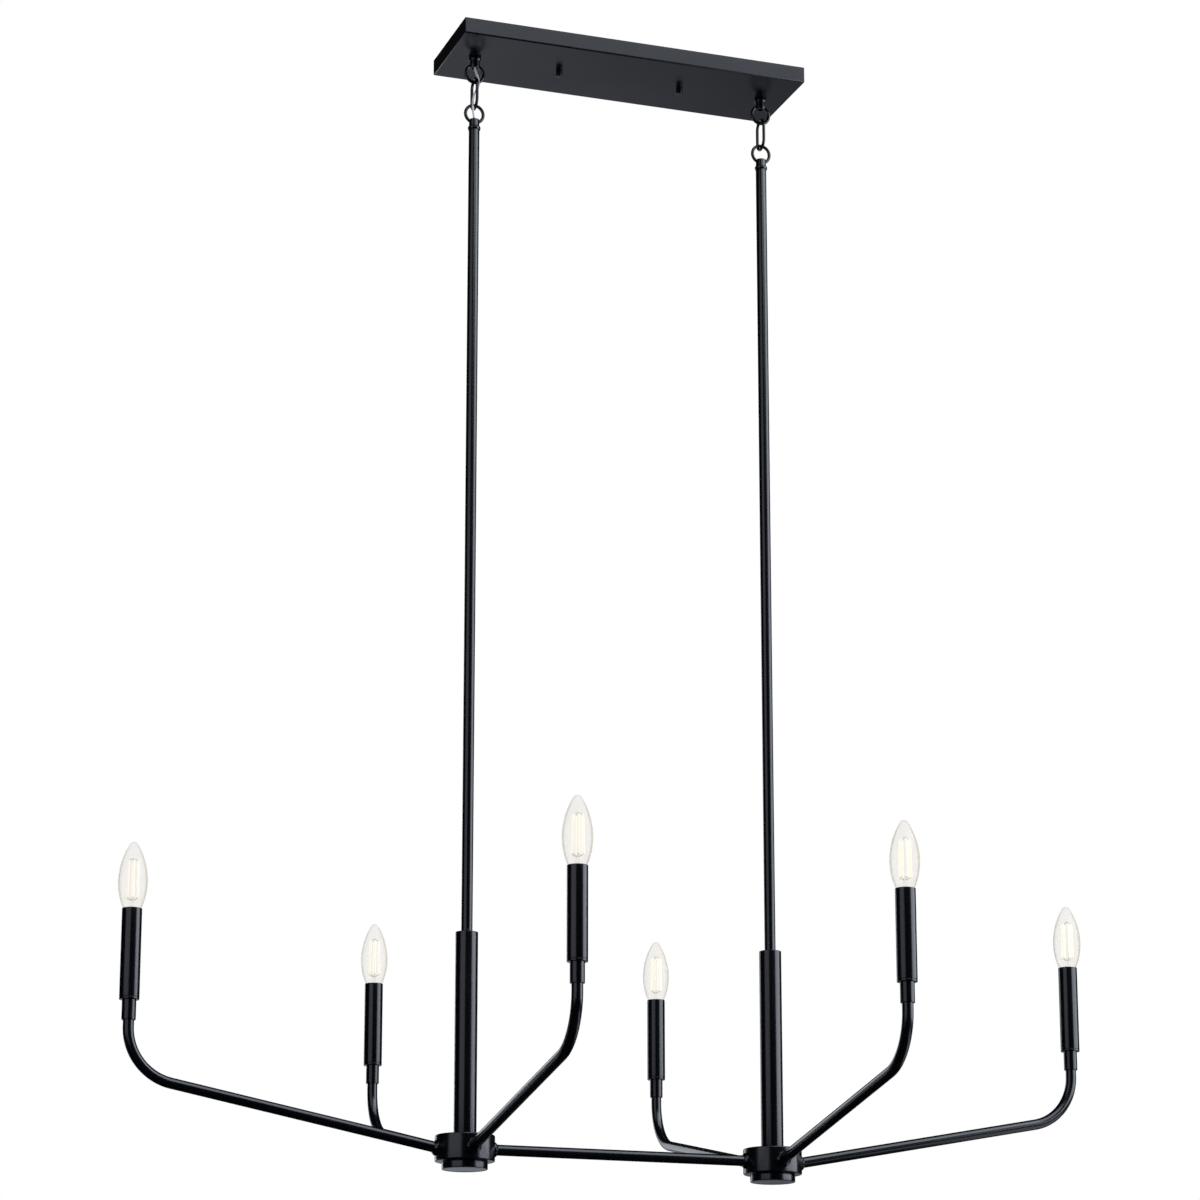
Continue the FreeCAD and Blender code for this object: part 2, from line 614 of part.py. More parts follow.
def make_hub_cap(side):
    outer = "Sizes.cap_outer / 2"
    inner = "(Sizes.neck_outer / 2 + Sizes.gap)"
    low = f"({HUB_FOOT} - Sizes.cap_height)"
    edge = "Sizes.cap_round"
    floor = f"({low} + Sizes.cap_floor)"
    steps = [("0", low), (f"{outer} - {edge}", low, edge), (outer, f"{low} + {edge}")]
    steps += [(outer, HUB_FOOT), (inner, HUB_FOOT), (inner, floor), ("0", floor)]
    body = turned(f"Cap_{side}", steps)
    at(body, stem_x(side), "0", "0")
    keep(body, f"hub_cap_{side}")


def make_bar():
    half = f"({HALF} - Sizes.hub_outer / 2 + Sizes.tube_inside)"
    outer = "Sizes.tube_outer / 2"
    body = tube("Bar", outer, "Sizes.tube_outer / 2 - Sizes.tube_wall", f"-{half}", half)
    body.Placement = Placement(Vector(0, 0, 0), Rotation(Vector(0, 1, 0), 90))
    body.setExpression("Placement.Base.z", HUB_MIDDLE)
    keep(body, "cross_bar")


def make_flares():
    """Eight flared collars, each cut to the drum that it seats on, and eight nuts inside."""
    hole = "Sizes.tube_outer / 2 + 0.05"
    wide = "Sizes.flare_outer / 2"
    narrow = "Sizes.flare_end / 2"
    back = "(-2)"
    steps = [(hole, back), (wide, back), (wide, "0.6"), (narrow, "Sizes.flare_length - 0.5")]
    steps += [(f"{narrow} - 0.5", "Sizes.flare_length"), (hole, "Sizes.flare_length")]
    flare = turned("Flare", steps)
    nut = hex_nut("TubeNut", "Sizes.tube_nut_flats", "Sizes.tube_nut_height", hole)
    doc.recompute()
    face = number("Sizes.hub_outer / 2")
    low = number(HUB_FOOT)
    drum = Part.makeCylinder(face + 0.01, number("Sizes.hub_height"), Vector(0, 0, low))
    rings = []
    nut_places = []
    nut_inner = face - number("Sizes.tube_nut_inside + Sizes.tube_nut_height")
    for side in SIDES:
        for place in PORTS:
            ring = flare.Shape.copy()
            ring.Placement = along(place, face)
            ring = ring.cut(drum)
            ring.Placement = hub_frame(side)
            rings.append(ring)
            nut_places.append(hub_frame(side).multiply(along(place, nut_inner)))
    collars = doc.addObject("Part::Feature", "tube_collars")
    collars.Shape = Part.makeCompound(rings)
    flare.Label = "tube_collars_master"
    keep(collars, "tube_collars")
    group(nut, "tube_nuts", nut_places)


# An arm: a straight tube rising from the hub, one bend, and a short upright end.

def arm_corner():
    """Height of the corner that the bend rounds, as an expression."""
    slope = "tan(Sizes.arm_rise)"
    return f"({HUB_MIDDLE} + (Sizes.arm_reach - Sizes.hub_outer / 2) * {slope})"


def make_arm(side, place):
    name = f"Arm_{side}_{place}"
    body = doc.addObject("PartDesign::Body", name)
    slope = "tan(Sizes.arm_rise)"
    root = "(Sizes.hub_outer / 2 - Sizes.tube_inside)"
    root_height = f"({HUB_MIDDLE} - Sizes.tube_inside * {slope})"
    tangent = "(Sizes.arm_bend * tan(45 - Sizes.arm_rise / 2))"
    bend_x = f"(Sizes.arm_reach - {tangent} * cos(Sizes.arm_rise))"
    bend_low = f"({arm_corner()} - {tangent} * sin(Sizes.arm_rise))"
    bend_high = f"({arm_corner()} + {tangent})"
    top = f"({CUP_FOOT} + Sizes.cup_socket - 0.2)"
    path = new_sketch(body, f"{name}_path", "XZ_Plane")
    steps = [("Sizes.arm_reach", top), ("Sizes.arm_reach", bend_high, "-Sizes.arm_bend")]
    outline(path, steps + [(bend_x, bend_low), (root, root_height)], closed=False)
    section = new_sketch(body, f"{name}_section", "XY_Plane")
    section.setExpression("AttachmentOffset.Base.z", top)
    circle(section, "Sizes.arm_reach", "0", "Sizes.tube_outer / 2")
    circle(section, "Sizes.arm_reach", "0", "Sizes.tube_outer / 2 - Sizes.tube_wall")
    sweep = body.newObject("PartDesign::AdditivePipe", f"{name}_sweep")
    sweep.Profile = section
    sweep.Spine = path
    at(body, stem_x(side), "0", "0", heading(side, place))
    keep(body, f"arm_{side}_{place}")


def candle_spot(side, place):
    turn = heading(side, place)
    x = f"{stem_x(side)} + Sizes.arm_reach * cos({turn})"
    return x, f"Sizes.arm_reach * sin({turn})"


def candle_places():
    places = []
    for side, place in ARMS:
        x, y = candle_spot(side, place)
        places.append(upright(number(x), number(y), 0))
    return places


# A candle: a cup on the arm's end, a sleeve on the cup's lip, a lampholder on a post inside
# the sleeve, and a clear bulb.

def make_cup(side, place):
    outer = "Sizes.cup_outer / 2"
    lip = "Sizes.sleeve_outer / 2"
    spigot = "(Sizes.sleeve_outer / 2 - Sizes.sleeve_wall - Sizes.gap)"
    socket = "(Sizes.tube_outer / 2 + 0.05)"
    bore = "Sizes.cup_bore / 2"
    shelf = f"({CUP_FOOT} + Sizes.cup_socket)"
    top = f"({SLEEVE_FOOT} + Sizes.spigot_height)"
    steps = [(socket, CUP_FOOT), (outer, CUP_FOOT), (outer, CUP_TOP), (lip, CUP_TOP)]
    steps += [(lip, SLEEVE_FOOT), (spigot, SLEEVE_FOOT), (spigot, top), (bore, top)]
    body = turned(f"Cup_{side}_{place}", steps + [(bore, shelf), (socket, shelf)])
    x, y = candle_spot(side, place)
    at(body, x, y, "0")
    keep(body, f"cup_{side}_{place}")


def make_sleeve(side, place):
    outer = "Sizes.sleeve_outer / 2"
    inner = "Sizes.sleeve_outer / 2 - Sizes.sleeve_wall"
    body = tube(f"Sleeve_{side}_{place}", outer, inner, SLEEVE_FOOT, SLEEVE_TOP)
    x, y = candle_spot(side, place)
    at(body, x, y, "0")
    keep(body, f"candle_sleeve_{side}_{place}")


def make_lampholders():
    foot = f"({SLEEVE_FOOT} + Sizes.spigot_height)"
    post = "Sizes.post_outer / 2"
    wire_way = "Sizes.cup_bore / 2"
    outer = "Sizes.socket_outer / 2"
    body_foot = f"({SOCKET_TOP} - Sizes.socket_length)"
    depth = f"({SOCKET_TOP} - Sizes.socket_depth)"
    bore = "(Sizes.base_outer / 2 + 0.1)"
    steps = [(wire_way, foot), (post, foot), (post, body_foot), (outer, body_foot)]
    steps += [(outer, SOCKET_TOP), (bore, SOCKET_TOP), (bore, depth), ("0", depth)]
    steps += [("0", f"{body_foot} + 3"), (wire_way, f"{body_foot} + 3")]
    group(turned("Lampholder", steps), "lampholders", candle_places())


def bulb_curves():
    """Centres and radii of the bulb's outline: two flanks that meet at the widest height, and
    a small tip circle tangent to the upper one."""
    widest = number("Sizes.bulb_outer / 2")
    rise = number("Sizes.bulb_above - Sizes.bulb_widest")
    flank = number("Sizes.bulb_flank")
    inset = flank - widest
    tip = (flank ** 2 - inset ** 2 - rise ** 2) / (2 * (flank - rise))
    drop = number("Sizes.bulb_widest")
    mouth = number("Sizes.bulb_mouth / 2")
    low_inset = (drop ** 2 + mouth ** 2 - widest ** 2) / (2 * (widest - mouth))
    return inset, flank, tip, low_inset, low_inset + widest


def bulb_side(wall):
    """The edges of the bulb's outline, inset by a wall, from its neck's foot to its tip."""
    inset, flank, tip, low_inset, low_flank = bulb_curves()
    base = number(SLEEVE_TOP)
    middle = base + number("Sizes.bulb_widest")
    apex = base + number("Sizes.bulb_above") - wall
    widest = number("Sizes.bulb_outer / 2") - wall
    neck = number("Sizes.bulb_neck / 2") - wall
    neck_foot = base - number("Sizes.bulb_neck_below")
    tip_centre = apex + wall - tip
    reach = math.hypot(inset, tip_centre - middle)
    meet_r = -inset + (flank - wall) * inset / reach
    meet_z = middle + (flank - wall) * (tip_centre - middle) / reach

    def on_low(height):
        across = math.sqrt((low_flank - wall) ** 2 - (height - middle) ** 2) - low_inset
        return Vector(across, 0, height)

    def on_high(height):
        across = math.sqrt((flank - wall) ** 2 - (height - middle) ** 2) - inset
        return Vector(across, 0, height)

    foot = Vector(neck, 0, neck_foot)
    neck_top = Vector(neck, 0, neck_foot + 2.5)
    mouth = on_low(base)
    wide = Vector(widest, 0, middle)
    meet = Vector(meet_r, 0, meet_z)
    lean = math.sin(math.pi / 4)
    half_tip = Vector((tip - wall) * lean, 0, tip_centre + (tip - wall) * lean)
    top = Vector(0, 0, apex)
    low_arc = Part.Arc(mouth, on_low((base + middle) / 2), wide).toShape()
    high_arc = Part.Arc(wide, on_high((middle + meet_z) / 2), meet).toShape()
    tip_arc = Part.Arc(meet, half_tip, top).toShape()
    straight = [Part.makeLine(foot, neck_top), Part.makeLine(neck_top, mouth)]
    return foot, top, straight + [low_arc, high_arc, tip_arc]


def make_bulb(side, place, shape):
    glass = doc.addObject("Part::Feature", f"Bulb_{side}_{place}")
    glass.Shape = shape
    x, y = candle_spot(side, place)
    glass.Placement = upright(number(x), number(y), 0)
    keep(glass, f"bulb_glass_{side}_{place}")


def bulb_shape():
    foot, top, outside = bulb_side(0.0)
    inner_foot, inner_top, inside = bulb_side(number("Sizes.bulb_glass_wall"))
    closing = [Part.makeLine(foot, inner_foot), Part.makeLine(top, inner_top)]
    wire = Part.Wire(Part.__sortEdges__(outside + inside + closing))
    face = Part.Face(wire)
    solid = face.revolve(Vector(0, 0, 0), Vector(0, 0, 1), 360)
    return Part.Solid(solid.Shells[0]) if solid.ShapeType != "Solid" else solid


def make_bulb_insides():
    neck_foot = f"({SLEEVE_TOP} - Sizes.bulb_neck_below)"
    skirt = "Sizes.bulb_neck / 2"
    screw = "Sizes.base_outer / 2"
    foot = f"({neck_foot} - Sizes.base_length)"
    steps = [("0", foot), ("2.2", foot), ("3.4", f"{foot} + 2"), (screw, f"{foot} + 4.5")]
    steps += [(screw, f"{neck_foot} - 4"), (skirt, f"{neck_foot} - 2"), (skirt, neck_foot)]
    base = turned("BulbBase", steps + [("0", neck_foot)])
    group(base, "bulb_bases", candle_places())
    top = number("Sizes.bulb_above - Sizes.filament_top_below") + number(SLEEVE_TOP)
    length = number("Sizes.filament_length")
    width = number("Sizes.filament_width")
    spread = number("Sizes.filament_spread")
    mount_foot = number(neck_foot) + 0.5
    mount_top = top - length + 2
    parts = []
    for step in range(4):
        turn = math.radians(25 + 90 * step)
        corner = Vector(-width / 2, -width / 4, 0)
        rod = Part.makeBox(width, width / 2, length, corner)
        spot = Vector(spread * math.cos(turn), spread * math.sin(turn), top - length)
        rod.Placement = Placement(spot, Rotation(Vector(0, 0, 1), math.degrees(turn)))
        parts.append(rod)
    foot_point = Vector(0, 0, mount_foot)
    parts.append(Part.makeCone(5.5, 1.8, mount_top - mount_foot, foot_point))
    sets = []
    for place in candle_places():
        for part in parts:
            copy = part.copy()
            copy.Placement = place.multiply(copy.Placement)
            sets.append(copy)
    cluster = doc.addObject("Part::Feature", "bulb_filaments")
    cluster.Shape = Part.makeCompound(sets)
    keep(cluster, "bulb_filaments")


# Cords and wires. A route is a list of points from the axis of the left stem, joined by
# straight runs with an arc at each point. Beside the link, a point's height is its share of
# the drop from the upper loop's mouth to the lower loop's mouth, so that the cord follows
# the hanger's size.

CORD_START = -0.09
CORD_END = 1.09
CORD_DROP = [
    (0, 0, CORD_START),
    (0, 0, -0.01),
    (0.9, -1.0, 0.08),
    (3.6, -3.8, 0.21),
    (3.9, -5.6, 0.36),
    (-1.6, -4.4, 0.52),
    (-3.6, -5.0, 0.67),
    (-3.5, -4.8, 0.80),
    (-1.0, -1.2, 0.93),
    (0, 0, 1.01),
    (0, 0, CORD_END),
]
CORD_IN_CANOPY = [(0, 0, -2.0), (20, 3, -2.3), (36, 5.5, -6.6), (50, 5, -8.8)]
WIRE_NUTS = (68.0, 5.0, -8.8)


def drop_height(share):
    mouth = number(f"{UPPER_RING} + Sizes.ring_to_mouth")
    other = number(f"{LOWER_RING} - Sizes.ring_to_mouth")
    return mouth - share * (mouth - other)


def rounded_path(points):
    """Straight runs joined by tangent arcs. Prints the smallest radius."""
    edges = []
    last = points[0]
    radii = []
    for index in range(1, len(points) - 1):
        back = points[index - 1] - points[index]
        ahead = points[index + 1] - points[index]
        turn = math.pi - back.getAngle(ahead)
        if turn < 0.01:
            continue
        reach = 0.45 * min(back.Length, ahead.Length)
        radii.append(reach / math.tan(turn / 2))
        start = points[index] + back.normalize() * reach
        end = points[index] + ahead.normalize() * reach
        toward = (back + ahead).normalize()
        middle_gap = radii[-1] / math.cos(turn / 2) - radii[-1]
        middle = points[index] + toward * middle_gap
        edges.append(Part.LineSegment(last, start).toShape())
        edges.append(Part.Arc(start, middle, end).toShape())
        last = end
    edges.append(Part.LineSegment(last, points[-1]).toShape())
    print("smallest cord radius", round(min(radii), 1), "mm")
    return Part.Wire(edges)


def cord_solid(points, outer):
    path = rounded_path(points)
    direction = points[1] - points[0]
    ring = Part.Wire([Part.makeCircle(outer / 2, points[0], direction)])
    solid = path.makePipeShell([ring], True, False)
    ideal = math.pi * outer ** 2 / 4 * path.Length
    print("cord volume over section times length", round(solid.Volume / ideal, 4))
    return solid


def make_cords():
    axis = Vector(number(stem_x("left")), 0, 0)
    outer = number("Sizes.cord_outer")
    start = Vector(0, 0, drop_height(CORD_START))
    inside = [start] + [Vector(*point) for point in CORD_IN_CANOPY]
    beside = [Vector(x, y, drop_height(share)) for x, y, share in CORD_DROP]
    for label, route in (("canopy_cord", inside), ("cord_drop", beside)):
        cord = doc.addObject("Part::Feature", label)
        cord.Shape = cord_solid([axis + point for point in route], outer)
        keep(cord, label)
    top = drop_height(CORD_END)
    length = top - number(f"{HUB_FOOT} + 6")
    inner = doc.addObject("Part::Cylinder", "StemCord")
    inner.setExpression("Radius", "Sizes.cord_outer / 2")
    inner.Height = length
    inner.Placement = upright(axis.x, 0, top - length)
    keep(inner, "stem_cord")


def make_canopy_leads():
    """Three single wires that fan from the cord's end into the connectors."""
    end = Vector(number(stem_x("left")), 0, 0) + Vector(*CORD_IN_CANOPY[-1])
    before = Vector(number(stem_x("left")), 0, 0) + Vector(*CORD_IN_CANOPY[-2])
    forward = (end - before).normalize()
    mouth = Vector(number(stem_x("left")), 0, 0) + Vector(*WIRE_NUTS)
    leads = []
    for step in (-1, 0, 1):
        turn = math.radians(90 * step)
        offset = Vector(0, 0.75 * math.sin(turn), 0.75 * math.cos(turn) - 0.35)
        start = end + offset - forward * (offset.dot(forward) - 0.03)
        goal = mouth + Vector(0, step * number("Sizes.wire_nut_pitch"), 0)
        points = [start, start + forward * 5, goal - Vector(5, 0, 0), goal + Vector(4, 0, 0)]
        leads.append(cord_solid(points, number("Sizes.wire_outer")))
    cluster = doc.addObject("Part::Feature", "canopy_leads")
    cluster.Shape = Part.makeCompound(leads)
    keep(cluster, "canopy_leads")


def make_leads():
    """Wires from each hub to its lampholders, and through the bar."""
    outer = number("Sizes.lead_outer")
    slope = math.tan(math.radians(number("Sizes.arm_rise")))
    reach = number("Sizes.arm_reach")
    face = number("Sizes.hub_outer / 2")
    middle = number(HUB_MIDDLE)
    start_r = 16.0
    tangent = number("Sizes.arm_bend * tan(45 - Sizes.arm_rise / 2)")
    corner_z = number(arm_corner())
    bend_r = reach - tangent * math.cos(math.atan(slope))
    low = Vector(start_r, 0, middle + (start_r - face) * slope)
    bend_low = Vector(bend_r, 0, middle + (bend_r - face) * slope)
    bend_high = Vector(reach, 0, corner_z + tangent)
    top = Vector(reach, 0, number(f"{SOCKET_TOP} - Sizes.socket_length + 2.5"))
    radius = number("Sizes.arm_bend")
    centre = Vector(reach - radius, 0, bend_high.z)
    toward = (Vector(reach, 0, corner_z) - centre).normalize()
    edges = [Part.LineSegment(low, bend_low).toShape()]
    edges.append(Part.Arc(bend_low, centre + toward * radius, bend_high).toShape())
    edges.append(Part.LineSegment(bend_high, top).toShape())
    ring = Part.Wire([Part.makeCircle(outer / 2, low, bend_low - low)])
    lead = Part.Wire(edges).makePipeShell([ring], True, False)
    leads = []
    for side, place in ARMS:
        copy = lead.copy()
        turn = Rotation(Vector(0, 0, 1), heading(side, place))
        copy.Placement = Placement(Vector(number(stem_x(side)), 0, 0), turn)
        leads.append(copy)
    half = number(HALF) - 16.0
    start = Vector(-half, 0, middle)
    leads.append(Part.makeCylinder(outer / 2, 2 * half, start, Vector(1, 0, 0)))
    cluster = doc.addObject("Part::Feature", "lamp_leads")
    cluster.Shape = Part.makeCompound(leads)
    keep(cluster, "lamp_leads")


def make_wire_nuts():
    """Three twist-on connectors in the canopy, side by side."""
    outer = "Sizes.wire_nut_outer / 2"
    bore = f"({outer} * 0.6)"
    length = "Sizes.wire_nut_length"
    steps = [("0", f"{length} * 0.5"), (bore, f"{length} * 0.5"), (bore, "0"), (outer, "0")]
    steps += [(outer, "4"), (f"{outer} * 0.55", f"{length} - 1"), (f"{outer} * 0.4", length)]
    nut = turned("WireNut", steps + [("0", length)])
    mouth = Vector(number(stem_x("left")), 0, 0) + Vector(*WIRE_NUTS)
    lying = Rotation(Vector(0, 1, 0), 90)
    places = []
    for step in (-1, 0, 1):
        beside = Vector(0, step * number("Sizes.wire_nut_pitch"), 0)
        places.append(Placement(mouth + beside, lying))
    group(nut, "wire_connectors", places)


make_canopy()
make_strap()
make_ground_screw()
make_stud_set()
for loop_side in SIDES:
    make_loop(f"CeilingLoop_{loop_side}", f"ceiling_loop_{loop_side}", loop_side, CANOPY_FACE, False)
    make_loop(f"StemLoop_{loop_side}", f"stem_loop_{loop_side}", loop_side, STEM_TOP, True)
    make_link(loop_side)
    make_stem(loop_side)
    make_column(loop_side)
    make_hub(loop_side)
    make_hub_cap(loop_side)
make_loop_nuts()
make_column_inside()
make_bar()
make_flares()
doc.recompute()
glass_shape = bulb_shape()
for arm_side, arm_place in ARMS:
    make_arm(arm_side, arm_place)
    make_cup(arm_side, arm_place)
    make_sleeve(arm_side, arm_place)
    make_bulb(arm_side, arm_place, glass_shape)
make_lampholders()
make_bulb_insides()
make_cords()
make_canopy_leads()
make_leads()
make_wire_nuts()
doc.recompute()

for item in doc.Objects:
    if "Invalid" in item.State or "Error" in item.State:
        raise RuntimeError(f"{item.Label} didn't compute: {item.State}")
for item in nodes:
    if item.Shape.isNull() or not item.Shape.isValid():
        raise RuntimeError(f"{item.Label} has no valid shape")

os.makedirs("parts", exist_ok=True)
for item in nodes:
    item.Shape.exportStep(os.path.join("parts", f"{item.Label}.step"))
print(len(nodes), "nodes written")
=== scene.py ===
import math
import bmesh
import bpy
from mathutils import Euler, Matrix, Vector


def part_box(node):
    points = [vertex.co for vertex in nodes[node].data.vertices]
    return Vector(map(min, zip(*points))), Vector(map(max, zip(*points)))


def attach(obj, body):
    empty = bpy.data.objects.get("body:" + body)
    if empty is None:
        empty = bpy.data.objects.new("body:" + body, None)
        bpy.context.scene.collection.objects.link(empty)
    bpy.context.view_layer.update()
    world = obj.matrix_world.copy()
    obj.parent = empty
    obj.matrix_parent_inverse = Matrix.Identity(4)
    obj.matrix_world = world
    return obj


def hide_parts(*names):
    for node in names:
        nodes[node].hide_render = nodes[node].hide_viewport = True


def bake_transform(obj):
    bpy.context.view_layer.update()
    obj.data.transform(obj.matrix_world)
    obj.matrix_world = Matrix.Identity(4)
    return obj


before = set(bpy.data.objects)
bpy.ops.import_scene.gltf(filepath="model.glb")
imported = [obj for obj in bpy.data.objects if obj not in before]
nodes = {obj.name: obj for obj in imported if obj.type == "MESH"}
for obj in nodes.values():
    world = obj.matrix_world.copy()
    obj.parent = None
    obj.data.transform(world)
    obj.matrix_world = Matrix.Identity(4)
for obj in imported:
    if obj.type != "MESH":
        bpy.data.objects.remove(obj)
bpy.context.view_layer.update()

scene = bpy.context.scene
mm = 0.001
sides = ("left", "right")
places = ("end", "front", "back")
armNames = [f"{side}_{place}" for side in sides for place in places]
print("packed frame loaded:", len(nodes), "nodes")

# camera, from the photograph's vanishing lines and the candles' places
photoCamera = {
    "spot": (-1.349481, -3.769009, -1.809889),
    "pitch": 104.022,
    "yaw": -19.364,
    "lens": 107.213,
    "sensor": 36.0,
    "lift": 0.095,
    "sight": 60.0,
}

cameraData = bpy.data.cameras.new("photoCamera")
cameraData.lens = photoCamera["lens"]
cameraData.sensor_width = photoCamera["sensor"]
cameraData.shift_y = photoCamera["lift"]
cameraData.clip_end = photoCamera["sight"]
camera = bpy.data.objects.new("photoCamera", cameraData)
camera.location = photoCamera["spot"]
camera.rotation_euler = Euler((math.radians(photoCamera["pitch"]), 0, math.radians(photoCamera["yaw"])))
scene.collection.objects.link(camera)
scene.camera = camera
print("camera set")


def axisOf(node):
    # middle of a CAD node, seen from above
    low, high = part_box(node)
    return (low.x + high.x) / 2, (low.y + high.y) / 2


def middleHeight(node):
    low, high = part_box(node)
    return (low.z + high.z) / 2


def addPiece(name, mesh):
    piece = bpy.data.objects.new(name, mesh)
    scene.collection.objects.link(piece)
    return piece


# shader nodes

def addRange(tree, source, span, result, smooth=False):
    # carries a value from one span over to another
    spread = tree.nodes.new("ShaderNodeMapRange")
    if smooth:
        spread.interpolation_type = "SMOOTHSTEP"
    spread.inputs["From Min"].default_value, spread.inputs["From Max"].default_value = span
    spread.inputs["To Min"].default_value, spread.inputs["To Max"].default_value = result
    tree.links.new(source, spread.inputs["Value"])
    return spread.outputs["Result"]


def addMath(tree, operation, first, second):
    step = tree.nodes.new("ShaderNodeMath")
    step.operation = operation
    tree.links.new(first, step.inputs[0])
    tree.links.new(second, step.inputs[1])
    return step.outputs["Value"]


def addNoise(tree, scale, detail=3.0, stretch=(1, 1, 1)):
    coords = tree.nodes.new("ShaderNodeTexCoord")
    mapping = tree.nodes.new("ShaderNodeMapping")
    mapping.inputs["Scale"].default_value = stretch
    noise = tree.nodes.new("ShaderNodeTexNoise")
    noise.inputs["Scale"].default_value = scale
    noise.inputs["Detail"].default_value = detail
    tree.links.new(coords.outputs["Object"], mapping.inputs["Vector"])
    tree.links.new(mapping.outputs["Vector"], noise.inputs["Vector"])
    return noise.outputs["Fac"]


def addBump(tree, shader, noise, height):
    bump = tree.nodes.new("ShaderNodeBump")
    bump.inputs["Distance"].default_value = height
    tree.links.new(noise, bump.inputs["Height"])
    tree.links.new(bump.outputs["Normal"], shader.inputs["Normal"])


noiseSpan = (0.3, 0.7)  # where most of a noise's values lie


def varyRoughness(tree, shader, noise, span):
    tree.links.new(addRange(tree, noise, noiseSpan, span), shader.inputs["Roughness"])


def newMaterial(name, settings):
    material = bpy.data.materials.new(name)
    material.use_nodes = True
    shader = material.node_tree.nodes["Principled BSDF"]
    for socket, value in settings.items():
        shader.inputs[socket].default_value = value
    return material, material.node_tree, shader


# materials

blackPaint = {
    "colour": (0.0007, 0.0010, 0.0022, 1),
    "tint": (0.9, 0.93, 1.0, 1),
    "ior": 1.5,
    "sheen": (0.18, 0.23),
    "canopySheen": (0.27, 0.32),
    "patches": 9,
    "patchDetail": 4.0,
    "grain": 420,
    "grainDetail": 2.0,
    "grainHeight": 0.0000008,
}


def makeBlackPaint(name, sheen):
    material, tree, shader = newMaterial(name, {
        "Base Color": blackPaint["colour"],
        "Specular Tint": blackPaint["tint"],
        "IOR": blackPaint["ior"],
    })
    varyRoughness(tree, shader, addNoise(tree, blackPaint["patches"], blackPaint["patchDetail"]), sheen)
    grain = addNoise(tree, blackPaint["grain"], blackPaint["grainDetail"])
    addBump(tree, shader, grain, blackPaint["grainHeight"])
    return material


metalGrain = {"detail": 4.0, "glossier": 0.07, "duller": 0.09, "height": 0.00001}
plasticGrain = {"detail": 3.0, "glossier": 0.05, "duller": 0.08, "height": 0.00002}
plasticIor = 1.49


def addGrain(tree, shader, kind, roughness, scale, stretch):
    # one noise that dents a surface and varies its roughness
    grain = addNoise(tree, scale, kind["detail"], stretch)
    varyRoughness(tree, shader, grain, (roughness - kind["glossier"], roughness + kind["duller"]))
    addBump(tree, shader, grain, kind["height"])


def makeMetal(name, colour, roughness, grain, stretch=(1, 1, 1)):
    material, tree, shader = newMaterial(name, {"Base Color": colour, "Metallic": 1.0})
    addGrain(tree, shader, metalGrain, roughness, grain, stretch)
    return material


def makePlastic(name, colour, roughness, grain):
    material, tree, shader = newMaterial(name, {"Base Color": colour, "IOR": plasticIor})
    addGrain(tree, shader, plasticGrain, roughness, grain, (1, 1, 1))
    return material


bulbGlass = {
    "colour": (0.34, 0.26, 0.12, 1),
    "cover": ((0.0, 0.052), (0.35, 0.058), (0.52, 0.08), (0.66, 0.16), (0.82, 0.26), (1.0, 0.26)),
}
stemGlass = {
    "colour": (0.85, 0.76, 0.56, 1),
    "cover": ((0.0, 0.07), (0.35, 0.08), (0.52, 0.1), (0.66, 0.14), (0.82, 0.2), (1.0, 0.2)),
}
glassSkin = {
    "ior": 1.45,
    "roughness": 0.06,
    "facing": 0.5,
    "waves": 28,
    "waveDetail": 1.0,
    "waveStretch": (1, 1, 0.35),
    "waveHeight": 0.00002,
}


def makeGlass(name, kind):
    # a thin clear skin that covers more where it turns away
    material, tree, shader = newMaterial(name, {
        "Base Color": kind["colour"],
        "Roughness": glassSkin["roughness"],
        "IOR": glassSkin["ior"],
    })
    facing = tree.nodes.new("ShaderNodeLayerWeight")
    facing.inputs["Blend"].default_value = glassSkin["facing"]
    cover = tree.nodes.new("ShaderNodeFloatCurve")
    curve = cover.mapping.curves[0]
    stops = kind["cover"]
    curve.points[0].location = stops[0]
    curve.points[1].location = stops[-1]
    for stop in stops[1:-1]:
        curve.points.new(*stop)
    cover.mapping.update()
    tree.links.new(facing.outputs["Facing"], cover.inputs["Value"])
    tree.links.new(cover.outputs["Value"], shader.inputs["Alpha"])
    waves = addNoise(tree, glassSkin["waves"], glassSkin["waveDetail"], glassSkin["waveStretch"])
    addBump(tree, shader, waves, glassSkin["waveHeight"])
    return material


filamentGlow = {
    "strip": (0.3, 0.28, 0.22, 1),
    "roughness": 0.5,
    "colour": (1.0, 0.965, 0.875, 1),
    "light": 0.8,
    "grain": 1500,
    "grainHeight": 0.00005,
}


def makeGlow():
    material, tree, shader = newMaterial("filamentGlow", {
        "Base Color": filamentGlow["strip"],
        "Roughness": filamentGlow["roughness"],
        "Emission Color": filamentGlow["colour"],
        "Emission Strength": filamentGlow["light"],
    })
    addBump(tree, shader, addNoise(tree, filamentGlow["grain"]), filamentGlow["grainHeight"])
    return material


clearCord = {
    "sheath": (0.86, 0.87, 0.88, 1),
    "strand": (0.42, 0.43, 0.44, 1),
    "clearness": 0.35,
    "roughness": 0.12,
    "ior": 1.5,
    "strands": 500,
    "strandDetail": 2.0,
    "strandStretch": (1, 1, 0.2),
    "strandHeight": 0.00003,
}


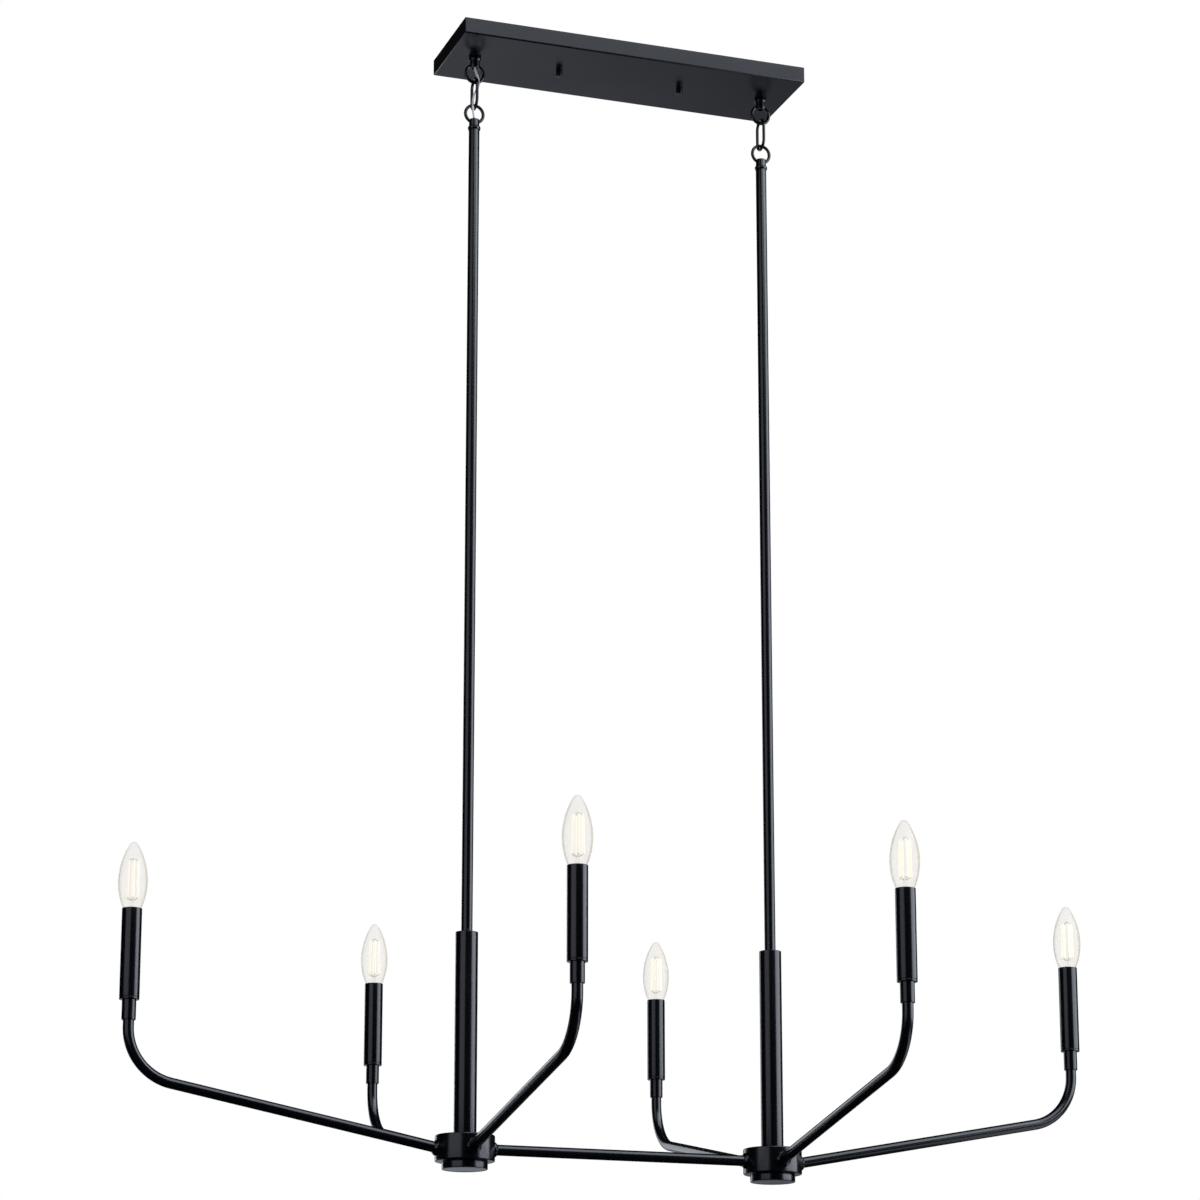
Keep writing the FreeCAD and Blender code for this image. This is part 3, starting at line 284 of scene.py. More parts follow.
def makeCordSkin():
    material, tree, shader = newMaterial("clearCordSkin", {
        "Base Color": clearCord["sheath"],
        "Roughness": clearCord["roughness"],
        "IOR": clearCord["ior"],
        "Transmission Weight": clearCord["clearness"],
    })
    strands = addNoise(tree, clearCord["strands"], clearCord["strandDetail"], clearCord["strandStretch"])
    mix = tree.nodes.new("ShaderNodeMix")
    mix.data_type = "RGBA"
    mix.inputs["A"].default_value = clearCord["strand"]
    mix.inputs["B"].default_value = clearCord["sheath"]
    tree.links.new(strands, mix.inputs["Factor"])
    tree.links.new(mix.outputs["Result"], shader.inputs["Base Color"])
    addBump(tree, shader, strands, clearCord["strandHeight"])
    return material


paint = makeBlackPaint("satinBlackPaint", blackPaint["sheen"])
canopyPaint = makeBlackPaint("canopyBlackPaint", blackPaint["canopySheen"])
zinc = makeMetal("zincPlate", (0.4, 0.41, 0.41, 1), roughness=0.5, grain=260)
brass = makeMetal("baseShell", (0.66, 0.62, 0.55, 1), roughness=0.25, grain=400, stretch=(1, 1, 3))
greenScrew = makeMetal("greenPlate", (0.06, 0.32, 0.12, 1), roughness=0.3, grain=300)
socketPlastic = makePlastic("socketPlastic", (0.03, 0.03, 0.032, 1), roughness=0.45, grain=500)
connectorPlastic = makePlastic("connectorPlastic", (0.72, 0.2, 0.03, 1), roughness=0.4, grain=400)
wireSkin = makePlastic("wireSkin", (0.04, 0.04, 0.042, 1), roughness=0.4, grain=600)
glass = makeGlass("clearGlass", bulbGlass)
mountGlass = makeGlass("mountGlass", stemGlass)
filamentWire = makePlastic("filamentWire", (0.6, 0.5, 0.38, 1), roughness=0.5, grain=800)
glow = makeGlow()
cordSkin = makeCordSkin()
print("materials made")

carriedOver = {
    zinc: ("mounting_strap", "canopy_studs", "stud_nuts", "loop_nuts", "centre_pipes", "pipe_nuts",
           "tube_nuts"),
    paint: ("column_plugs",),
    greenScrew: ("ground_screw",),
    socketPlastic: ("lampholders",),
    connectorPlastic: ("wire_connectors",),
    brass: ("bulb_bases",),
}
for material, names in carriedOver.items():
    for name in names:
        nodes[name].data.materials.clear()
        nodes[name].data.materials.append(material)


# shapes

roundingShare = 0.48  # the most of a side that one rounded corner takes
sharpEdge = 32
easedEdge = 30


def roundedOutline(corners, steps=4):
    # corners are (radius, height, edge rounding) in millimetres, and the outline is closed
    outline = []
    for index, (radius, height, soft) in enumerate(corners):
        here = Vector((radius, height)) * mm
        if not soft:
            outline.append(here)
            continue
        back = Vector(corners[index - 1][:2]) * mm - here
        ahead = Vector(corners[(index + 1) % len(corners)][:2]) * mm - here
        reach = soft * mm / math.tan(back.angle(ahead) / 2)
        reach = min(reach, roundingShare * back.length, roundingShare * ahead.length)
        start = here + back.normalized() * reach
        end = here + ahead.normalized() * reach
        for step in range(steps + 1):
            t = step / steps
            outline.append(start.lerp(here, t).lerp(here.lerp(end, t), t))
    return outline


def finishMesh(bm, name):
    bmesh.ops.remove_doubles(bm, verts=bm.verts, dist=1e-7)
    bmesh.ops.recalc_face_normals(bm, faces=bm.faces)
    mesh = bpy.data.meshes.new(name)
    bm.to_mesh(mesh)
    bm.free()
    mesh.shade_smooth()
    mesh.set_sharp_from_angle(angle=math.radians(sharpEdge))
    return mesh


def turnedMesh(name, outline, around):
    # turns a closed outline about the vertical axis, in this many steps
    bm = bmesh.new()
    rings = []
    for point in outline:
        if abs(point.x) < 1e-7:
            rings.append([bm.verts.new((0, 0, point.y))])
            continue
        ring = []
        for step in range(around):
            turn = 2 * math.pi * step / around
            ring.append(bm.verts.new((point.x * math.cos(turn), point.x * math.sin(turn), point.y)))
        rings.append(ring)
    for index, ring in enumerate(rings):
        after = rings[(index + 1) % len(rings)]
        if len(ring) == 1 and len(after) == 1:
            continue
        for step in range(around):
            follow = (step + 1) % around
            if len(ring) == 1:
                bm.faces.new((ring[0], after[step], after[follow]))
            elif len(after) == 1:
                bm.faces.new((ring[step], after[0], ring[follow]))
            else:
                bm.faces.new((ring[step], after[step], after[follow], ring[follow]))
    return finishMesh(bm, name)


def polylineMesh(name, chains):
    bm = bmesh.new()
    for chain in chains:
        verts = [bm.verts.new(point) for point in chain]
        for start, end in zip(verts, verts[1:]):
            bm.edges.new((start, end))
    mesh = bpy.data.meshes.new(name)
    bm.to_mesh(mesh)
    bm.free()
    return mesh


# Geometry Nodes

curveSteps = {"tubeBend": 28, "linkEnd": 20, "linkWire": 28}
nearlyHalf = 0.4999  # of a link's width, so that its two round ends don't meet in a doubled point


def newTree(name, inputs):
    tree = bpy.data.node_groups.new(name, "GeometryNodeTree")
    tree.interface.new_socket("Geometry", in_out="INPUT", socket_type="NodeSocketGeometry")
    for label, kind in inputs:
        tree.interface.new_socket(label, in_out="INPUT", socket_type=kind)
    tree.interface.new_socket("Geometry", in_out="OUTPUT", socket_type="NodeSocketGeometry")
    return tree, tree.nodes.new("NodeGroupInput"), tree.nodes.new("NodeGroupOutput")


def chainNodes(tree, *steps):
    # each step is a node, its output, the next node and that one's input
    for source, output, target, entry in steps:
        tree.links.new(source.outputs[output], target.inputs[entry])


def makeTubeTree():
    # a round tube along straight runs, with bends of one radius
    tree, start, end = newTree("tubeAlongRuns", (
        ("Tube radius", "NodeSocketFloat"),
        ("Bend radius", "NodeSocketFloat"),
        ("Sides", "NodeSocketInt"),
        ("Finish", "NodeSocketMaterial"),
    ))
    toCurve = tree.nodes.new("GeometryNodeMeshToCurve")
    bend = tree.nodes.new("GeometryNodeFilletCurve")
    bend.mode = "POLY"
    bend.inputs["Count"].default_value = curveSteps["tubeBend"]
    bend.inputs["Limit Radius"].default_value = True
    ring = tree.nodes.new("GeometryNodeCurvePrimitiveCircle")
    sweep = tree.nodes.new("GeometryNodeCurveToMesh")
    sweep.inputs["Fill Caps"].default_value = True
    smooth = tree.nodes.new("GeometryNodeSetShadeSmooth")
    realize = tree.nodes.new("GeometryNodeRealizeInstances")
    finish = tree.nodes.new("GeometryNodeSetMaterial")
    chainNodes(
        tree,
        (start, "Geometry", toCurve, "Mesh"),
        (toCurve, "Curve", bend, "Curve"),
        (start, "Bend radius", bend, "Radius"),
        (start, "Tube radius", ring, "Radius"),
        (start, "Sides", ring, "Resolution"),
        (bend, "Curve", sweep, "Curve"),
        (ring, "Curve", sweep, "Profile Curve"),
        (sweep, "Mesh", smooth, "Geometry"),
        (smooth, "Geometry", realize, "Geometry"),
        (realize, "Geometry", finish, "Geometry"),
        (start, "Finish", finish, "Material"),
        (finish, "Geometry", end, "Geometry"),
    )
    return tree


def makeSeatTree():
    # one copy of a part on each seat, turned as the seat says
    tree, start, end = newTree("partOnSeats", (
        ("Part", "NodeSocketObject"),
        ("Finish", "NodeSocketMaterial"),
    ))
    part = tree.nodes.new("GeometryNodeObjectInfo")
    turn = tree.nodes.new("GeometryNodeInputNamedAttribute")
    turn.data_type = "FLOAT_VECTOR"
    turn.inputs["Name"].default_value = "seatTurn"
    toRotation = tree.nodes.new("FunctionNodeEulerToRotation")
    copies = tree.nodes.new("GeometryNodeInstanceOnPoints")
    realize = tree.nodes.new("GeometryNodeRealizeInstances")
    finish = tree.nodes.new("GeometryNodeSetMaterial")
    chainNodes(
        tree,
        (start, "Part", part, "Object"),
        (start, "Geometry", copies, "Points"),
        (part, "Geometry", copies, "Instance"),
        (turn, "Attribute", toRotation, "Euler"),
        (toRotation, "Rotation", copies, "Rotation"),
        (copies, "Instances", realize, "Geometry"),
        (realize, "Geometry", finish, "Geometry"),
        (start, "Finish", finish, "Material"),
        (finish, "Geometry", end, "Geometry"),
    )
    return tree


def makeLinkTree():
    # an oval wire link, standing upright on each seat
    tree, start, end = newTree("ovalLink", (
        ("Width", "NodeSocketFloat"),
        ("Height", "NodeSocketFloat"),
        ("Wire radius", "NodeSocketFloat"),
        ("Finish", "NodeSocketMaterial"),
    ))
    frameShape = tree.nodes.new("GeometryNodeCurvePrimitiveQuadrilateral")
    halve = tree.nodes.new("ShaderNodeMath")
    halve.operation = "MULTIPLY"
    halve.inputs[1].default_value = nearlyHalf
    ends = tree.nodes.new("GeometryNodeFilletCurve")
    ends.mode = "POLY"
    ends.inputs["Count"].default_value = curveSteps["linkEnd"]
    wire = tree.nodes.new("GeometryNodeCurvePrimitiveCircle")
    wire.inputs["Resolution"].default_value = curveSteps["linkWire"]
    sweep = tree.nodes.new("GeometryNodeCurveToMesh")
    stand = tree.nodes.new("GeometryNodeTransform")
    stand.inputs["Rotation"].default_value = Euler((math.pi / 2, 0, math.pi / 2))
    copies = tree.nodes.new("GeometryNodeInstanceOnPoints")
    smooth = tree.nodes.new("GeometryNodeSetShadeSmooth")
    realize = tree.nodes.new("GeometryNodeRealizeInstances")
    finish = tree.nodes.new("GeometryNodeSetMaterial")
    chainNodes(
        tree,
        (start, "Width", frameShape, "Width"),
        (start, "Height", frameShape, "Height"),
        (start, "Width", halve, 0),
        (halve, "Value", ends, "Radius"),
        (frameShape, "Curve", ends, "Curve"),
        (start, "Wire radius", wire, "Radius"),
        (ends, "Curve", sweep, "Curve"),
        (wire, "Curve", sweep, "Profile Curve"),
        (sweep, "Mesh", smooth, "Geometry"),
        (smooth, "Geometry", stand, "Geometry"),
        (start, "Geometry", copies, "Points"),
        (stand, "Geometry", copies, "Instance"),
        (copies, "Instances", realize, "Geometry"),
        (realize, "Geometry", finish, "Geometry"),
        (start, "Finish", finish, "Material"),
        (finish, "Geometry", end, "Geometry"),
    )
    return tree


def bakedMesh(piece):
    # a plain mesh of what a piece's modifiers make of it
    return bpy.data.meshes.new_from_object(piece.evaluated_get(bpy.context.evaluated_depsgraph_get()))


def growPiece(name, base, tree, values):
    # runs a tree on a base mesh and keeps the result as a plain mesh
    carrier = addPiece(name + "Base", base)
    modifier = carrier.modifiers.new("grow", "NODES")
    modifier.node_group = tree
    for item in tree.interface.items_tree:
        if item.in_out == "INPUT" and item.name in values:
            modifier[item.identifier] = values[item.name]
    mesh = bakedMesh(carrier)
    bpy.data.objects.remove(carrier)
    mesh.name = name
    return addPiece(name, mesh)


tubeTree = makeTubeTree()
seatTree = makeSeatTree()
linkTree = makeLinkTree()


def seatMesh(name, seats):
    # seats are (place in metres, turn in radians)
    mesh = bpy.data.meshes.new(name)
    mesh.from_pydata([place for place, turn in seats], [], [])
    turns = mesh.attributes.new("seatTurn", "FLOAT_VECTOR", "POINT")
    for index, (place, turn) in enumerate(seats):
        turns.data[index].vector = turn
    return mesh


def seatParts(name, partMesh, seats, finish, body, replaced):
    part = addPiece(name + "Part", partMesh)
    values = {"Part": part, "Finish": finish}
    piece = growPiece(name, seatMesh(name + "Seats", seats), seatTree, values)
    bpy.data.objects.remove(part)
    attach(piece, body)
    if replaced:
        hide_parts(*replaced)


def onAxes(names, height=0.0, turn=(0, 0, 0)):
    return [((*axisOf(name), height * mm), turn) for name in names]


# cord, the same points as its CAD solids

cordSizes = {
    "diameter": 0.0026,
    "lead": 0.001,
    "axis": -0.183,
    "upperLength": 0.0363,
    "lowerLength": 0.0450,
    "canopyLength": 0.0745,
    "stemMiddle": -0.7,
    "lineSteps": 12,
    "roundSteps": 5,
}
cordUpper = (
    (0, 0, -0.02708),
    (0, 0, -0.03234),
    (0.0009, -0.0010, -0.03826),
    (0.0036, -0.0038, -0.04682),
    (0.0039, -0.0056, -0.05669),
    (0.00115, -0.0050, -0.06196),
)
cordLower = (
    (0.00115, -0.0050, -0.06196),
    (-0.0016, -0.0044, -0.06722),
    (-0.0036, -0.0050, -0.07709),
    (-0.0035, -0.0048, -0.08564),
    (-0.0010, -0.0012, -0.09419),
    (0, 0, -0.09946),
    (0, 0, -0.10472),
)
cordInCanopy = (
    (0, 0, -0.02708),
    (0, 0, -0.0020),
    (0.0200, 0.0030, -0.0023),
    (0.0360, 0.0055, -0.0066),
    (0.0500, 0.0050, -0.0088),
)


def splineCurve(name, points):
    curve = bpy.data.curves.new(name, "CURVE")
    curve.dimensions = "3D"
    spline = curve.splines.new("NURBS")
    spline.points.add(len(points) - 1)
    for point, place in zip(spline.points, points):
        point.co = (place[0] + cordSizes["axis"], place[1], place[2], 1)
    spline.order_u = 3
    spline.use_endpoint_u = True
    curve.resolution_u = cordSizes["lineSteps"]
    return curve


def cordMesh(name, points, diameter):
    # the tube's mesh, and the line it follows
    line = addPiece(name, splineCurve(name, points))
    path = [tuple(v.co) for v in bpy.data.meshes.new_from_object(line).vertices]
    line.data.bevel_depth = diameter / 2
    line.data.bevel_resolution = cordSizes["roundSteps"]
    line.data.use_fill_caps = True
    bpy.context.view_layer.update()
    mesh = bakedMesh(line)
    bpy.data.objects.remove(line)
    mesh.materials.clear()
    return mesh, path


def cordPiece(name, points, body=None, across=None):
    mesh, path = cordMesh(name + "Line", points, cordSizes["diameter"])
    mesh.shade_smooth()
    mesh.materials.append(cordSkin)
    piece = addPiece(name, mesh)
    if across:
        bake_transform(piece)
    else:
        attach(piece, body)
    return piece


upperEnds = [(cordSizes["axis"], 0, height) for height in (-0.034, -0.0600)]
lowerEnds = [(cordSizes["axis"], 0, height) for height in (-0.0700, -0.0980)]
cordAbove = cordPiece("cordBesideLinkUpper", cordUpper,
                      across=("ceiling", "links", *upperEnds))
cordPiece("cordBesideLinkLower", cordLower,
          across=("links", "fixture", *lowerEnds))
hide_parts("cord_drop")

leadFan = {
    "spread": 0.00075,
    "drop": 0.00035,
    "gap": 0.00003,
    "run": 0.005,
    "mouth": (0.068, 0.005, -0.0088),
    "pitch": 0.013,
    "into": 0.004,
}


def leadRoutes():
    # three single wires from the cord's end, fanned out into the connectors' mouths
    end = Vector(cordInCanopy[-1])
    forward = (end - Vector(cordInCanopy[-2])).normalized()
    routes = []
    for step in (-1, 0, 1):
        turn = math.radians(90 * step)
        offset = Vector((0, math.sin(turn), math.cos(turn))) * leadFan["spread"]
        offset.z -= leadFan["drop"]
        start = end + offset - forward * (offset.dot(forward) - leadFan["gap"])
        mouth = Vector(leadFan["mouth"]) + Vector((0, step * leadFan["pitch"], 0))
        before = mouth - Vector((leadFan["run"], 0, 0))
        inside = mouth + Vector((leadFan["into"], 0, 0))
        routes.append((start, start + forward * leadFan["run"], before, inside))
    return routes


def makeCanopyLeads():
    bm = bmesh.new()
    for route in leadRoutes():
        bm.from_mesh(cordMesh("leadLine", route, cordSizes["lead"])[0])
    mesh = bpy.data.meshes.new("canopyLeads")
    bm.to_mesh(mesh)
    bm.free()
    mesh.shade_smooth()
    mesh.materials.append(wireSkin)
    leads = addPiece("canopyLeads", mesh)
    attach(leads, "ceiling")
    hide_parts("canopy_leads")
    return leads


leads = makeCanopyLeads()
cordHidden = cordPiece("cordInCanopy", cordInCanopy, body="ceiling")
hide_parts("canopy_cord")
stemCordLow, stemCordHigh = (corner.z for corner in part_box("stem_cord"))
cordInStem = cordPiece("cordInStem",
                       ((0, 0, stemCordHigh), (0, 0, cordSizes["stemMiddle"]), (0, 0, stemCordLow)),
                       body="fixture")
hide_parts("stem_cord")
print("cord laid")


# canopy

canopySizes = {
    "edge": 1.6,
    "edgeSteps": 6,
    "cornerShare": 0.6,
    "rimShare": 0.2,
    "flatFace": 0.9999,
    "nutOuter": 4.1,
    "nutTop": -19.5,
    "nutFoot": -27.8,
    "nutAround": 48,
}


def mergedCopy(name, node):
    # a CAD node's own shape with its loose triangles joined into flat faces
    bm = bmesh.new()
    bm.from_mesh(nodes[node].data)
    bmesh.ops.remove_doubles(bm, verts=bm.verts, dist=1e-6)
    bmesh.ops.dissolve_limit(bm, angle_limit=math.radians(0.5), verts=bm.verts, edges=bm.edges)
    mesh = bpy.data.meshes.new(name)
    bm.to_mesh(mesh)
    bm.free()
    return addPiece(name, mesh)


def easeEdges(piece, width, segments, finish, byWeight=False):
    bevel = piece.modifiers.new("ease", "BEVEL")
    bevel.width = width * mm
    bevel.segments = segments
    bevel.limit_method = "WEIGHT" if byWeight else "ANGLE"
    bevel.angle_limit = math.radians(easedEdge)
    bevel.use_clamp_overlap = not byWeight
    bpy.context.view_layer.update()
    eased = bakedMesh(piece)
    piece.modifiers.clear()
    piece.data = eased
    eased.shade_smooth()
    eased.set_sharp_from_angle(angle=math.radians(easedEdge))
    eased.materials.clear()
    eased.materials.append(finish)


def weighPanEdges(mesh):
    # the lower rim is eased most, the upright corners less and the rim at the ceiling least
    low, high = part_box("canopy")
    bm = bmesh.new()
    bm.from_mesh(mesh)
    weights = bm.edges.layers.float.new("bevel_weight_edge")
    for edge in bm.edges:
        if len(edge.link_faces) < 2 or edge.calc_face_angle() < math.radians(easedEdge):
            continue
        middle = (edge.verts[0].co + edge.verts[1].co) / 2
        run = edge.verts[0].co - edge.verts[1].co
        atSide = min(abs(abs(middle.x) - high.x), abs(abs(middle.y) - high.y)) < 1e-5
        if atSide and abs(run.z) > 0.01:
            edge[weights] = canopySizes["cornerShare"]
        elif atSide and middle.z < low.z + 1e-5:
            edge[weights] = 1.0
        elif atSide:
            edge[weights] = canopySizes["rimShare"]
    bm.to_mesh(mesh)
    bm.free()


def makeCanopy():
    s = canopySizes
    pan = mergedCopy("canopyPan", "canopy")
    weighPanEdges(pan.data)
    easeEdges(pan, s["edge"], s["edgeSteps"], canopyPaint, byWeight=True)
    for face in pan.data.polygons:
        face.use_smooth = max(abs(part) for part in face.normal) < s["flatFace"]
    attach(pan, "ceiling")
    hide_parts("canopy")
    low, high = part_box("canopy_nuts")
    inset = s["nutOuter"] * mm
    spots = [((x, 0, 0), (0, 0, 0)) for x in (low.x + inset, high.x - inset)]
    outline = roundedOutline((
        (0, s["nutFoot"], 0),
        (s["nutOuter"], s["nutFoot"], 0.9),
        (s["nutOuter"], s["nutTop"], 0.2),
        (0, s["nutTop"], 0),
    ))
    nut = turnedMesh("canopyNut", outline, s["nutAround"])
    seatParts("canopyNuts", nut, spots, paint, "ceiling", ("canopy_nuts",))


makeCanopy()
print("canopy made")


# hangers: rings, collars and links

hangerSizes = {
    "ringRadius": 10.95,
    "wireRadius": 1.9,
    "ringSteps": 96,
    "wireSides": 28,
    "ringGapHalf": 4.6,
    "mouthFromRing": 7.2,
    "collarRadius": 6.1,
    "collarAround": 72,
    "boreRadius": 3.4,
    "grooveRise": 0.05,
    "beadStep": 0.75,
    "beadStepDrop": 0.15,
    "beadRadius": 7.5,
    "beadRound": 1.2,
    "beadHeight": 4.6,
    "beadSlope": 1.3,
    "seatStep": 0.5,
    "seatFromRing": 20.7,
    "linkWidth": 20.9,
    "linkHeight": 37.6,
    "linkWire": 1.8,
}


def loopCollar():
    s = hangerSizes
    mouth = -s["seatFromRing"] + s["mouthFromRing"]
    bead = -s["beadHeight"]
    return roundedOutline((
        (s["boreRadius"], mouth, 0.5),
        (s["collarRadius"], mouth, 0.55),
        (s["collarRadius"], bead + s["grooveRise"], 0.25),
        (s["collarRadius"] + s["beadStep"], bead - s["beadStepDrop"], 0.2),
        (s["beadRadius"], bead + s["beadSlope"], s["beadRound"]),
        (s["beadRadius"], -s["beadSlope"], s["beadRound"]),
        (s["collarRadius"] + s["seatStep"], 0, 0.1),
        (s["boreRadius"], 0, 0),
    ), 5)


def loopMesh():
    # hangs below its seat at the origin, with a ring whose two ends stand in the collar
    s = hangerSizes
    bm = bmesh.new()
    bm.from_mesh(turnedMesh("collar", loopCollar(), s["collarAround"]))
    gap = math.asin(s["ringGapHalf"] / s["ringRadius"])
    rings = []
    for step in range(s["ringSteps"] + 1):
        turn = math.pi / 2 + gap + (2 * math.pi - 2 * gap) * step / s["ringSteps"]
        out = Vector((math.cos(turn), 0, math.sin(turn)))
        centre = out * s["ringRadius"] * mm + Vector((0, 0, -s["seatFromRing"] * mm))
        ring = []
        for corner in range(s["wireSides"]):
            lean = 2 * math.pi * corner / s["wireSides"]
            side = out * math.cos(lean) + Vector((0, 1, 0)) * math.sin(lean)
            ring.append(bm.verts.new(centre + side * s["wireRadius"] * mm))
        rings.append(ring)
    for ring, after in zip(rings, rings[1:]):
        for corner in range(s["wireSides"]):
            follow = (corner + 1) % s["wireSides"]
            bm.faces.new((ring[corner], ring[follow], after[follow], after[corner]))
    bm.faces.new(rings[0])
    bm.faces.new(rings[-1])
    return finishMesh(bm, "hangerLoop")


def makeHangers():
    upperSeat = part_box("canopy")[0].z / mm
    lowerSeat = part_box("stem_left")[1].z / mm
    above = onAxes(("ceiling_loop_left", "ceiling_loop_right"), upperSeat)
    below = onAxes(("stem_loop_left", "stem_loop_right"), lowerSeat, (math.pi, 0, 0))
    seatParts("ceilingLoops", loopMesh(), above, paint, "ceiling",
              ("ceiling_loop_left", "ceiling_loop_right"))
    seatParts("stemLoops", loopMesh(), below, paint, "fixture",
              ("stem_loop_left", "stem_loop_right"))
    seats = onAxes(("chain_link_left", "chain_link_right"), middleHeight("chain_link_left") / mm)
    links = growPiece("chainLinks", seatMesh("linkSeats", seats), linkTree, {
        "Width": hangerSizes["linkWidth"] * mm,
        "Height": hangerSizes["linkHeight"] * mm,
        "Wire radius": hangerSizes["linkWire"] * mm,
        "Finish": paint,
    })
    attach(links, "links")
    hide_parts("chain_link_left", "chain_link_right")


makeHangers()
print("hangers made")


# stems and columns

stemSizes = {"outer": 6.35, "inner": 5.15, "edge": 0.35, "around": 72}
columnSizes = {"outer": 12.7, "inner": 11.2, "edge": 0.5, "around": 96}


def makeStandingTubes(name, sizes, names):
    low, high = (corner.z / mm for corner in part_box(names[0]))
    outline = roundedOutline((
        (sizes["inner"], low, 0),
        (sizes["outer"], low, sizes["edge"]),
        (sizes["outer"], high, sizes["edge"]),
        (sizes["inner"], high, sizes["edge"] / 2),
    ))
    mesh = turnedMesh(name + "Tube", outline, sizes["around"])
    seatParts(name, mesh, onAxes(names), paint, "fixture", names)


makeStandingTubes("stems", stemSizes, ("stem_left", "stem_right"))
makeStandingTubes("columns", columnSizes, ("column_left", "column_right"))
print("stems and columns made")


# hubs and caps

hubSizes = {
    "outer": 33.35,
    "edge": 1.5,
    "wall": 5.2,
    "floor": 3.0,
    "pipeHole": 4.9,
    "neck": 23.3,
    "neckInner": 20.1,
    "neckHeight": 4.6,
    "capOuter": 25.5,
    "capEdge": 0.7,
    "capHeight": 8.6,
    "capFloor": 2.0,
    "capGap": 0.12,
    "capPlay": 0.1,
    "around": 128,
}
collarEase = {"width": 0.3, "steps": 2}


def makeHubs():
    s = hubSizes
    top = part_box("hub_left")[1].z / mm
    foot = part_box("hub_cap_left")[1].z / mm
    drum = roundedOutline((
        (s["pipeHole"], top - s["wall"], 0),
        (s["outer"] - s["wall"], top - s["wall"], 0.5),
        (s["outer"] - s["wall"], foot + s["floor"], 0.5),
        (s["neckInner"], foot + s["floor"], 0),
        (s["neckInner"], foot - s["neckHeight"], 0.3),
        (s["neck"], foot - s["neckHeight"], 0.3),
        (s["neck"], foot, 0),
        (s["outer"], foot, s["edge"]),
        (s["outer"], top, s["edge"]),
        (s["pipeHole"], top, 0.3),
    ), 6)
    low = foot - s["capHeight"]
    cap = roundedOutline((
        (0, low, 0),
        (s["capOuter"], low, s["capEdge"]),
        (s["capOuter"], foot - s["capGap"], 0.35),
        (s["neck"] + s["capPlay"], foot - s["capGap"], 0),
        (s["neck"] + s["capPlay"], low + s["capFloor"], 0),
        (0, low + s["capFloor"], 0),
    ), 5)
    hubs = ("hub_left", "hub_right")
    caps = ("hub_cap_left", "hub_cap_right")
    seatParts("hubDrums", turnedMesh("hubDrum", drum, s["around"]), onAxes(hubs), paint, "fixture",
              hubs)
    seatParts("hubCaps", turnedMesh("hubCap", cap, s["around"]), onAxes(caps), paint, "fixture",
              caps)


def makeCollars():
    collars = mergedCopy("tubeCollars", "tube_collars")
    easeEdges(collars, collarEase["width"], collarEase["steps"], paint)
    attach(collars, "fixture")
    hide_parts("tube_collars")


makeHubs()
makeCollars()
print("hubs made")


# arms and bar

armSizes = {
    "tube": 6.1,
    "tubeSides": 48,
    "reach": 380.5,
    "slope": 10.8,
    "bend": 60.0,
    "root": 22.15,
    "face": 33.35,
    "cupFoot": 123.3,
    "intoCup": 13.8,
    "lead": 1.2,
    "leadSides": 12,
    "leadStart": 16.0,
}


def armRuns(root, top):
    # from this far out of a stem's middle to this height, in millimetres
    s = armSizes
    middle = middleHeight("cross_bar") / mm
    slope = math.tan(math.radians(s["slope"]))
    runs = []
    for side in sides:
        x = axisOf(f"stem_{side}")[0] / mm
        out = -1 if side == "left" else 1
        for heading in ((out, 0), (0, -1), (0, 1)):
            corners = (
                (root, middle - (s["face"] - root) * slope),
                (s["reach"], middle + (s["reach"] - s["face"]) * slope),
                (s["reach"], top),
            )
            runs.append([Vector((x + r * heading[0], r * heading[1], z)) * mm for r, z in corners])
    return runs


def makeArms():
    s = armSizes
    tube = {
        "Tube radius": s["tube"] * mm,
        "Bend radius": s["bend"] * mm,
        "Sides": s["tubeSides"],
        "Finish": paint,
    }
    middle = middleHeight("cross_bar")
    runs = armRuns(s["root"], middle / mm + s["cupFoot"] + s["intoCup"])
    arms = growPiece("candleArms", polylineMesh("armRuns", runs), tubeTree, tube)
    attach(arms, "fixture")
    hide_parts(*[f"arm_{name}" for name in armNames])
    barRun = [Vector((corner.x, 0, middle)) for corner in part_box("cross_bar")]
    bar = growPiece("crossBar", polylineMesh("barRun", [barRun]), tubeTree, tube)
    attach(bar, "fixture")
    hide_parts("cross_bar")


def makeLampLeads():
    # a wire along each arm, and one along the bar
    s = armSizes
    wire = {
        "Tube radius": s["lead"] * mm,
        "Bend radius": s["bend"] * mm,
        "Sides": s["leadSides"],
        "Finish": wireSkin,
    }
    runs = armRuns(s["leadStart"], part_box("lamp_leads")[1].z / mm)
    barEnd = -axisOf("stem_left")[0] - s["leadStart"] * mm
    runs.append([Vector((x, 0, middleHeight("cross_bar"))) for x in (-barEnd, barEnd)])
    wires = growPiece("lampLeads", polylineMesh("leadRuns", runs), tubeTree, wire)
    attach(wires, "fixture")
    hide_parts("lamp_leads")


makeArms()
makeLampLeads()
print("arms made")


# candles: cups, sleeves and bulbs

candleSizes = {
    "cupOuter": 7.8,
    "armSocket": 14.0,
    "wireHole": 3.3,
    "lip": 2.6,
    "lipGap": 0.15,
    "spigotPlay": 0.1,
    "sleeveOuter": 11.0,
    "sleeveInner": 10.2,
    "boreRadius": 6.15,
    "cupAround": 72,
    "sleeveAround": 96,
}


